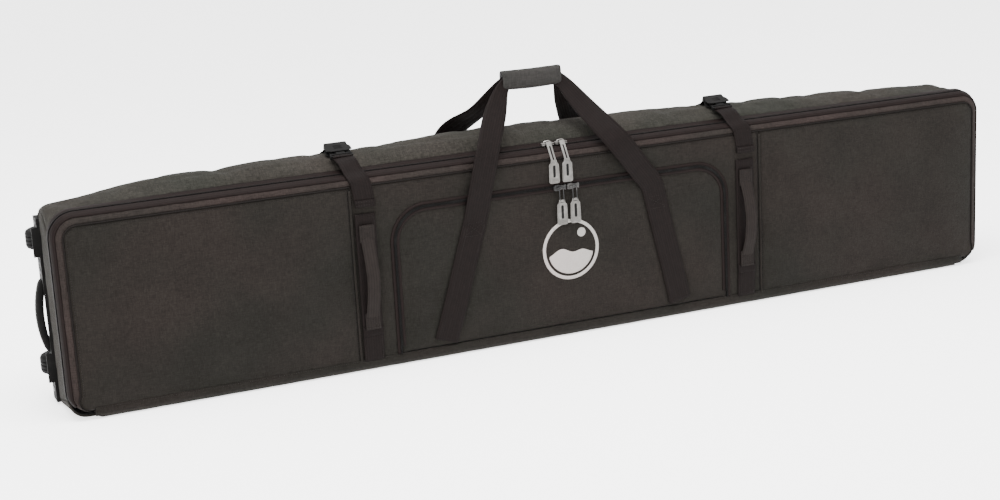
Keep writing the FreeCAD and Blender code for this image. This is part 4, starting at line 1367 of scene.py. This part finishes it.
for side, strapMiddle in strapX.items():
    x = strapMiddle + strapLean
    h, mouth, back = buckleSetup["half"], buckleSetup["mouth"], buckleSetup["back"]
    black = paint["plastic"]
    parts = []
    for z0, z1 in ((0, 1.7), (8.8, 10.5)):
        shape = [(-h, mouth + 3), (9 - h, mouth), (h - 9, mouth), (h, mouth + 3), (h, 5.5), (h - 4, 13.5),
                 (h - 3, back - 2), (h - 5, back), (5 - h, back), (3 - h, back - 2), (4 - h, 13.5),
                 (-h, 5.5)]
        parts.append(outlineBlock("plate", shape, z0, z1, black, 0.8))
    for a0, a1, b0, b1 in ((-5.5, 5.5, 7.5, 16), (4.5 - h, 8 - h, 9.5, 16), (h - 8, h - 4.5, 9.5, 16),
                           (4 - h, h - 4, 13.5, 16.3), (-9.5, -8, mouth + 1, 13.5),
                           (8, 9.5, mouth + 1, 13.5)):
        parts.append(bevelledBlock("web", (a0, b0, 1), (a1, b1, 9.4), black, 0.5))
    for a in (3.4 - h, h - 6.4):
        parts.append(bevelledBlock("side", (a, 13, 0.6), (a + 3, back - 0.3, 9.9), black, 0.9))
    parts.append(bevelledBlock("bar", (4 - h, 20.1, 1.6), (h - 4, back - 0.4, 7.6), black, 1.2))
    for k in range(5):
        parts.append(bevelledBlock("ridge", (-8, 2.6 * k, 10.1), (8, 2.6 * k + 1.2, 11.0), black, 0.35, 1))
    socket = settleBuckle(joined("buckleSocket" + side.title(), parts), x)
    place(socket, bodyName, "black_plastic", "buckle_socket_" + side)

    parts = [bevelledBlock("front", (-22, -23.9, 0.6), (22, -21.1, 8.8), black, 1.2),
             bevelledBlock("rear", (-22, -17.5, 0.6), (22, -14.1, 8.8), black, 1.2),
             bevelledBlock("collar", (-8.6, -14.9, 0.8), (8.6, mouth - 0.8, 8.8), black, 0.8),
             bevelledBlock("tongue", (-6.8, mouth - 1.5, 2.3), (6.8, mouth + 8.3, 6.1), black, 0.9),
             bevelledBlock("slideBar", (-19.6, -20.9, 3.4), (19.6, -18.3, 6.4), black, 0.9)]
    parts += [bevelledBlock("cheek", (a, -23.7, 0.8), (a + 2.8, -14.3, 8.6), black, 1.0)
              for a in (-22, 19.2)]
    plug = settleBuckle(joined("bucklePlug" + side.title(), parts), x)
    place(plug, "lid", "black_plastic", "buckle_plug_" + side)
    fold = []
    for y, z, outY, outZ in ((-26, 7.0, -0.3, 1), (-21, 8.2, 0, 1), (-17.4, 5.2, 1, 0), (-20, 2.0, 0, -1),
                             (-26, 2.6, -0.3, -1)):
        spot = onBuckle(x, 0, y, z)
        fold.append((spot.x, spot.y, spot.z, 0, *tilted(outY, outZ), 37))
    place(webbingPiece("strapFold" + side.title(), fold, 1.4, step=2.0), "lid", "webbing")
    for end, sign in (("outer", -1), ("inner", 1)):
        c = sign * 15.5
        shape = [(c - sign * 3, -13.5), (c + sign * 3, -13.5), (c + sign * 3, -2.5), (c + sign * 3, -0.1),
                 (c - sign * 0.4, 0), (c - sign * 3, -2.5)]
        arm = outlineBlock("buckleProng%s%s" % (side.title(), end.title()), shape, 2.3, 5.9, black, 0.7)
        place(settleBuckle(arm, x), "prong_%s_%s" % (side, end), "black_plastic",
              "buckle_prong_%s_%s" % (side, end))


# zip sliders and pulls
pullSetup = {"wide": 22.0, "thick": 2.6}


# A die-cast slider: two wings, a waist between them and a bridge for the pull.
def sliderPiece(name, node, body, upright, metal):
    low, high = (Vector(c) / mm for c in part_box(node))
    x = (low.x + high.x) / 2
    if upright:
        y = (low.y + high.y) / 2
        at = lambda a, b, c: Vector((x + a, y + b, low.z + c))
    else:
        z = (low.z + high.z) / 2
        at = lambda a, b, c: Vector((x + a, high.y - c, z + b))
    wing = [(-12, -3.2), (-9.5, -5.8), (-2, -5.8), (2, -4.0), (9, -3.6), (12, -5.6), (12.8, -4.6),
            (12.8, 4.6),
            (12, 5.6), (9, 3.6), (2, 4.0), (-2, 5.8), (-9.5, 5.8), (-12, 3.2)]
    parts = [outlineBlock("lower", wing, 0.1, 1.7, metal, 0.5, at),
             outlineBlock("upper", wing, 3.3, 4.9, metal, 0.6, at),
             outlineBlock("waist", roundedRect(-3, 3, -1.6, 1.6, 1.2), 0.8, 4.2, metal, 0, at)]
    arch = [at(-7.2, 0, 4.4), at(-6.6, 0, 6.6), at(-4.4, 0, 7.9), at(0, 0, 8.3), at(4.4, 0, 7.9),
            at(6.6, 0, 6.6),
            at(7.2, 0, 4.4)]
    parts.append(tube("bridge", smoothPath(arch, 1.2), 1.15, metal, 8))
    piece = joined(name, parts)
    return place(piece, body, "slider_metal", node)


# A link and a long pale tab with a slot, rounded at its foot; a plated link is a flat strip, else wire.
def pullPiece(name, node, body, knee, top, plated):
    low, high = (Vector(c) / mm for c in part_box(node))
    x = (low.x + high.x) / 2
    half = pullSetup["wide"] / 2
    y, foot = knee.y, low.z + 0.4
    loop = [top + Vector((-4.2, 0, 0)), top + Vector((4.2, 0, 0)), knee + Vector((4.2, 0, 1)),
            knee + Vector((4.2, 0, -3.4)), knee + Vector((-4.2, 0, -3.4)), knee + Vector((-4.2, 0, 1))]
    dense = [Vector(p) for p in evenly(loop + loop[:1], 2.2)][:-1]
    if plated:
        ahead = (knee - top).normalized()
        out = Vector((1, 0, 0)).cross(ahead)
        out = out if out.y < 0 else -out
        rows = [(*(top + ahead * s), *out, 10.5) for s in (-1, 8, 18, (knee - top).length - 2)]
        rows.append((*(knee + Vector((0, 0, -3.5))), 0, -1, 0, 10.5))
        link = webbingPiece("link", rows, 1.7, material="pull", step=3.0, ripple=0)
        # A black strip down the plated link's middle stands in for a groove: painted shade.
        rows = [(*(Vector(row[:3]) + Vector(row[3:6]) * 1.0), *row[3:6], 3.0) for row in rows[1:-1]]
        link = joined("link", [link, webbingPiece("groove", rows, 0.5, material="plastic", step=3.0,
                                                  ripple=0)])
    else:
        link = ringPiece("link", dense, 1.1, paint["darkMetal"])
    outline = [(-half * 0.5, knee.z + 1.5), (half * 0.5, knee.z + 1.5), (half * 0.62, knee.z - 4),
               (half * 0.92, knee.z - 8), (half, foot + 4), (half - 1.2, foot + 1), (half - 4, foot),
               (4 - half, foot), (1.2 - half, foot + 1), (-half, foot + 4), (-half * 0.92, knee.z - 8),
               (-half * 0.62, knee.z - 4)]
    outline = [(x + a, b) for a, b in outline]
    thick = pullSetup["thick"]
    at = lambda a, b, c: Vector((a, y - c, b))
    parts = [link, outlineBlock("tab", outline, -thick / 2, thick / 2 - 0.5, paint["pull"], 0.5, at)]
    border = [(x + (a - x) * 0.80, (b - knee.z + 22) * 0.88 + knee.z - 22) for a, b in outline]
    parts.append(ringPiece("raised", [at(a, b, thick / 2 - 0.5) for a, b in border], 0.9, paint["pull"], 6))
    slotShape = roundedRect(x - 2.6, x + 2.6, foot + 12, knee.z - 9, 2.4)
    parts.append(outlineBlock("slot", slotShape, thick / 2 - 0.9, thick / 2 - 0.3, paint["plastic"], 0, at))
    for k in range(3):
        parts.append(bevelledBlock("rib", (x - 6, y - thick / 2 - 0.1, foot + 3.4 + 2.6 * k),
                                   (x + 6, y - thick / 2 + 0.6, foot + 4.5 + 2.6 * k), paint["pull"], 0.3,
                                   1))
    return place(joined(name, parts), body, "pull_plastic", node)


for side, x in (("left", -22.0), ("right", 6.0)):
    sliderPiece("mainSlider" + side.title(), "main_slider_" + side, "main_slider_" + side, True,
                paint["slider"])
    pullPiece("mainPull" + side.title(), "main_pull_" + side, "main_pull_" + side, Vector((x, -84.5, 354)),
              Vector((x, -63.6, 386.4)), True)
for side, x in (("left", -12.0), ("right", 16.0)):
    sliderPiece("pocketSlider" + side.title(), "pocket_slider_" + side, "pocket_slider_" + side, False,
                paint["darkMetal"])
    pullPiece("pocketPull" + side.title(), "pocket_pull_" + side, "pocket_pull_" + side,
              Vector((x, -92.2, 276)),
              Vector((x, -91.4, 302)), False)

# roundel on the pocket
emblemSetup = {"x": 5.0, "z": 176.0, "radius": 60.0, "ring": 6.5}


# A printed mark laid on the flap's cloth.
def printMark(name, outline, holes=()):
    at = lambda u, v: Vector((u, onFront(u, v, 0.5).y, v))
    patch = sheetMesh(name, outline, holes, 4.0, at, away(0, -1, 0), [paint["print"]])
    return settleMesh(addWall(patch, 0.5))


cx, cz, radius, ring = (emblemSetup[key] for key in ("x", "z", "radius", "ring"))
circle = lambda r, n=72: [(cx + r * math.cos(2 * math.pi * k / n), cz + r * math.sin(2 * math.pi * k / n))
                          for k in range(n)]
inner = radius - ring - 5
hill = [cx - inner + 2 * inner * k / 40 for k in range(41)]
ridge = [(a, cz - 12 + 15 * math.exp(-((a - cx + 20) / 21) ** 2) + 9 * math.exp(-((a - cx - 24) / 17) ** 2))
         for a in hill]
ridge = [(a, b) for a, b in ridge if math.hypot(a - cx, b - cz) < inner - 1]
start = math.atan2(ridge[0][1] - cz, ridge[0][0] - cx)
end = math.atan2(ridge[-1][1] - cz, ridge[-1][0] - cx)
turns = [end - (end - start + 2 * math.pi) % (2 * math.pi) * k / 40 for k in range(1, 40)]
lowArc = [(cx + inner * math.cos(a), cz + inner * math.sin(a)) for a in turns]
sun = [(cx + 24 + 9 * math.cos(a), cz + 31 + 9 * math.sin(a))
       for a in (2 * math.pi * k / 28 for k in range(28))]
marks = [printMark("ringMark", circle(radius), [circle(radius - ring)]),
         printMark("hillMark", ridge + lowArc), printMark("sunMark", sun)]
place(joined("roundel", marks), "pocket_flap", "emblem_print", "emblem")

# wheel end
# A frame part's own shape, merged and with its edges softened.
def frameCopy(node, name, material, size, segments=2, angle=30):
    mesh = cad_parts[node].data.copy()
    mesh.name = name
    work = bmesh.new()
    work.from_mesh(mesh)
    bmesh.ops.remove_doubles(work, verts=work.verts, dist=2e-5)
    bmesh.ops.dissolve_limit(work, angle_limit=math.radians(3), verts=work.verts, edges=work.edges)
    for face in work.faces:
        face.smooth = True
        face.material_index = 0
    work.to_mesh(mesh)
    work.free()
    mesh.materials.clear()
    piece = linked(name, mesh, [material])
    soften = piece.modifiers.new("soften", "BEVEL")
    soften.width, soften.segments, soften.angle_limit = size * mm, segments, math.radians(angle)
    soften.harden_normals = True
    return settleMesh(piece)


wheelSetup = {"x": -967.0, "y": 82.0, "radius": 30.0, "wide": 36.0, "hub": 20.0}
carrier = frameCopy("wheel_carrier", "wheelCarrier", paint["plastic"], 0.9)
ribs = [carrier]
for z in (120, 140, 160, 180, 200, 218):
    ribs.append(bevelledBlock("rib", (-951.2, 50.2, z - 1.2), (-926, 78.6, z + 1.2), paint["plastic"], 0.4,
                              1))
for low, high in ((97, 104), (229, 236)):
    ribs.append(bevelledBlock("pad", (-978.0, 79.6, low), (-928, 81.2, high), paint["plastic"], 0.5, 1))
place(joined("wheelCarrier", ribs), bodyName, "black_plastic", "wheel_carrier")
for level, z in (("upper", 307.0), ("lower", 71.0)):
    wx, wy, r, w = (wheelSetup[key] for key in ("x", "y", "radius", "wide"))
    half, hub = w / 2, wheelSetup["hub"]
    tread = [(hub, -half + 2), (hub + 1, -half + 0.6), (r - 7, -half), (r - 2.2, -half + 2.6),
             (r - 0.5, -half + 6)]
    for groove in (-7, 0, 7):
        tread += [(r - 0.1, groove - 2.2), (r - 0.2, groove - 1.2), (r - 1.9, groove - 0.8),
                  (r - 1.9, groove + 0.8),
                  (r - 0.2, groove + 1.2), (r - 0.1, groove + 2.2)]
    tread += [(r - 0.5, half - 6), (r - 2.2, half - 2.6), (r - 7, half), (hub + 1, half - 0.6),
              (hub, half - 2)]
    tyre = lathe("tyre" + level.title(), tread, (wx, wy, z), paint["tyre"], 56)
    place(tyre, "wheel_" + level, "tyre", "tyre_" + level)
    rim = [(11.1, -half + 0.2), (12.8, -half), (13.4, -half + 0.8), (13.6, -half + 5), (16.0, -half + 5.4),
           (16.6, -half + 1.0), (hub - 0.3, -half + 0.6), (hub - 0.1, -half + 2), (hub - 0.1, half - 2),
           (hub - 0.3, half - 0.6), (16.6, half - 1.0), (16.0, half - 5.4), (13.6, half - 5),
           (13.4, half - 0.8),
           (12.8, half), (11.1, half - 0.2), (11.1, half - 7), (7.1, half - 7.2), (7.1, -half + 7.2),
           (11.1, -half + 7)]
    parts = [lathe("rim", rim, (wx, wy, z), paint["hub"], 48)]
    for k in range(6):
        a = math.pi / 3 * k
        spoke = bevelledBlock("spoke", (12.8, -1.3, -half + 1.2), (17.4, 1.3, half - 1.2), paint["hub"],
                              0.4, 1)
        spoke.data.transform(Matrix.Translation(Vector((wx, wy, z)) * mm) @ Matrix.Rotation(a, 4, "Z"))
        parts.append(spoke)
    place(joined("hub" + level.title(), parts), "wheel_" + level, "hub_plastic", "hub_" + level)

screwTree = newTree("screwHeads", "GeometryNodeTree",
                    (("Points", "Geometry"), ("Radius", "Float", 0.0045), ("Height", "Float", 0.0018),
                     ("Slot", "Float", 0.0011), ("Material", "Material")), (("Screws", "Geometry"),))
w = Wiring(screwTree, "GeometryNode")
given = w.add("NodeGroupInput").outputs
dome = w.add("MeshUVSphere", {"Segments": 20, "Rings": 10, "Radius": given["Radius"]}).outputs[0]
flatScale = w.add("ShaderNodeMath", {0: given["Height"], 1: given["Radius"]}, operation="DIVIDE").outputs[0]
flatSize = w.add("ShaderNodeCombineXYZ", {0: 1.0, 1: 1.0, 2: flatScale}).outputs[0]
dome = w.add("Transform", {0: dome, "Scale": flatSize}).outputs[0]
slotLong = w.add("ShaderNodeMath", {0: given["Radius"], 1: 1.15}, operation="MULTIPLY").outputs[0]
cutters = []
for a, b in ((slotLong, given["Slot"]), (given["Slot"], slotLong)):
    size = w.add("ShaderNodeCombineXYZ", {0: a, 1: b, 2: given["Height"]}).outputs[0]
    block = w.add("MeshCube", {"Size": size}).outputs[0]
    up = w.add("ShaderNodeCombineXYZ", {2: given["Height"]}).outputs[0]
    cutters.append(w.add("Transform", {0: block, "Translation": up}).outputs[0])
head = w.add("MeshBoolean", {0: dome, 1: cutters[0]}, operation="DIFFERENCE").outputs[0]
head = w.add("MeshBoolean", {0: head, 1: cutters[1]}, operation="DIFFERENCE").outputs[0]
facing = w.add("InputNormal").outputs[0]
turned = w.add("FunctionNodeAlignRotationToVector", {"Vector": facing}, axis="Z").outputs[0]
screws = w.add("InstanceOnPoints", {"Points": given["Points"], "Instance": head,
                                    "Rotation": turned}).outputs[0]
screws = w.add("RealizeInstances", {0: screws}).outputs[0]
screws = w.add("SetMaterial", {0: screws, "Material": given["Material"]}).outputs[0]
w.add("NodeGroupOutput", {0: screws})


# Screw heads made once facing up, then laid facing ahead at every spot.
def turnedScrews(name, spots, ahead):
    seed = runTree(newPiece("seed", [Vector((0, 0, 0))], [], []), screwTree, {"Material": paint["steel"]})
    work = bmesh.new()
    turn = Vector((0, 0, 1)).rotation_difference(ahead).to_matrix().to_4x4()
    for k, spot in enumerate(spots):
        before = len(work.verts)
        work.from_mesh(seed.data)
        work.verts.ensure_lookup_table()
        roll = Matrix.Rotation(0.7 * k + 0.3, 4, "Z")
        bmesh.ops.transform(work, matrix=Matrix.Translation(Vector(spot) * mm) @ turn @ roll,
                            verts=work.verts[before:])
    bpy.data.objects.remove(seed)
    piece = fromWork(name, work, [paint["steel"]])
    for polygon in piece.data.polygons:
        polygon.material_index = 0
    return piece


screwPieces = [turnedScrews("sideScrews", [(-980.2, 64, z) for z in (26, 250, 268, 340)],
                            Vector((-1, 0, 0))),
               turnedScrews("rearScrews", [(x, 80.2, z) for x in (-970, -936) for z in (26, 258, 341)],
                            Vector((0, 1, 0)))]
place(joined("carrierScrews", screwPieces), bodyName, "steel", "carrier_screws")

# end handle: a moulded bow with finger ribs inside
handle = {"low": 96.0, "high": 236.0, "out": 15.5, "y0": 55.0, "y1": 77.0}
rows, steps = [], 34
for k in range(steps + 1):
    t = k / steps
    z = handle["low"] + (handle["high"] - handle["low"]) * t
    bowOut = math.sin(math.pi * t) ** 0.62
    x = -980.0 - handle["out"] * bowOut + 6.0
    thickness = 8.0 + 1.0 * (1 - bowOut) + 0.5 * math.cos(k * math.pi)
    slope = math.atan2(-handle["out"] * 0.62 * math.cos(math.pi * t) * 3, 140)
    row = []
    for j in range(14):
        a = 2 * math.pi * j / 14
        px = math.copysign(abs(math.cos(a)) ** 0.6, math.cos(a)) * thickness * 0.95
        py = math.copysign(abs(math.sin(a)) ** 0.5, math.sin(a)) * (handle["y1"] - handle["y0"]) / 2
        row.append(Vector((x + px * math.cos(slope), (handle["y0"] + handle["y1"]) / 2 + py,
                           z + px * math.sin(slope))))
    rows.append(row)
grip = halved(faceOut(gridPiece("endHandle", rows, paint["rubber"], closeAcross=True, caps=True)))
place(grip, bodyName, "handle_rubber", "end_handle")

# tow end: sewn webbing handle with a patch at each foot
tow = [(975.6, 0, 268, 1, 0, 0, 38), (976.6, 0, 252, 1, 0, 0, 38), (987, 0, 238, 0.8, 0, 0.6, 37),
       (998, 0, 214, 0.97, 0, 0.2, 36), (1002, 0, 190, 1, 0, 0, 36), (998, 0, 166, 0.97, 0, -0.2, 36),
       (987, 0, 142, 0.8, 0, -0.6, 37), (976.6, 0, 128, 1, 0, 0, 38), (975.6, 0, 112, 1, 0, 0, 38)]
parts = [webbingPiece("bow", tow, 3.2, material="grab", step=4.0)]
for z in (262, 118):
    parts.append(webbingPiece("patch", [(979.2, 0, z + k, 1, 0, 0, 42) for k in (-11, 0, 11)], 1.8,
                              step=4.0))
    corner = [(980.5, -17, z - 8), (980.5, 17, z - 8), (980.5, 17, z + 8), (980.5, -17, z + 8)]
    for run in crossed(corner):
        sewLine(bodyName, run)
place(joined("towHandle", parts), bodyName, "webbing", "tow_handle")

# inside
pouch = frameCopy("pocket_pouch", "pocketPouch", paint["lining"], 0.5, 1)
uv = pouch.data.uv_layers.new(name="UVMap")
for loop in pouch.data.loops:
    spot = pouch.data.vertices[loop.vertex_index].co
    uv.data[loop.index].uv = (spot.x + spot.y, spot.z + spot.y)
place(pouch, "lid", "lining", "pocket_pouch")
ties, clips = [], []
for x in (-520.0, 520.0):
    rows = [(x, 59.4 - 2.0 * math.sin(math.pi * k / 12) ** 2, 30 + 290 * k / 12, 0, -1, 0, 25)
            for k in range(13)]
    ties.append(webbingPiece("tie", rows, 1.6))
    clips.append(bevelledBlock("clipFrame", (x - 17, 52.0, 160), (x + 17, 56.5, 200), paint["plastic"],
                               1.6))
    for z in (166, 180, 194):
        clips.append(bevelledBlock("clipBar", (x - 15, 50.9, z - 2), (x + 15, 53.2, z + 2),
                                   paint["plastic"], 0.8))
place(joined("tieStraps", ties), bodyName, "webbing", "tie_straps")
place(joined("tieClips", clips), bodyName, "black_plastic", "tie_buckles")
for node, name, key, slot in (("back_board", "backBoard", "board", "stiffener"),
                              ("stiffener_stays", "stays", "stay", "stay")):
    place(frameCopy(node, name, paint[key], 0.4, 1), bodyName, slot, node)
for node in ("wheel_axles", "bearings_upper", "bearings_lower"):
    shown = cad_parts[node]
    for k in range(max(1, len(shown.data.materials))):
        if shown.material_slots:
            shown.material_slots[k].material = paint["steel"]
print("hardware ready")

# stitching
stitchSetup = {"pitch": 4.6, "long": 3.3, "wide": 0.85}
for body, lines in stitchLines.items():
    runs = [[Vector(p) for p in line] for line in lines]
    sewn = alongLines("stitches_" + body, stitchTree, runs, {
        "Pitch": stitchSetup["pitch"] * mm, "Length": stitchSetup["long"] * mm,
        "Width": stitchSetup["wide"] * mm, "Height": stitchSetup["wide"] * mm,
        "Seed": 11, "Material": paint["thread"]})
    place(sewn, body, "webbing")
print("stitching ready", {body: len(lines) for body, lines in stitchLines.items()})


# stage
floorMesh = bpy.data.meshes.new("floor")
reach = 30
floorMesh.from_pydata([(-reach, -reach, 0), (reach, -reach, 0), (reach, reach, 0), (-reach, reach, 0)], [],
                      [(0, 1, 2, 3)])
floorPaint = bpy.data.materials.new("paleFloor")
floorPaint.use_nodes = True
floorShader = floorPaint.node_tree.nodes["Principled BSDF"]
floorShader.inputs["Base Color"].default_value = rgb(*[lightSetup["floor"]] * 3)
floorShader.inputs["Roughness"].default_value = 0.9
floorShader.inputs["Emission Color"].default_value = rgb(1, 1, 1)
floorShader.inputs["Emission Strength"].default_value = lightSetup["glow"]
linked("floor", floorMesh, [floorPaint])
sky = bpy.data.worlds.new("studio")
sky.use_nodes = True
sky.node_tree.nodes["Background"].inputs["Color"].default_value = rgb(1, 1, 1)
sky.node_tree.nodes["Background"].inputs["Strength"].default_value = lightSetup["sky"]
bpy.context.scene.world = sky
addSoftbox("overhead", (-0.6, -0.9, 3.4), (0, 0, 0.2), (3.4, 2.2), lightSetup["over"])
addSoftbox("frontFill", (-2.6, -4.2, 2.0), (0, 0, 0.2), (2.5, 2.0), lightSetup["front"])
addCamera(cameraSetup)
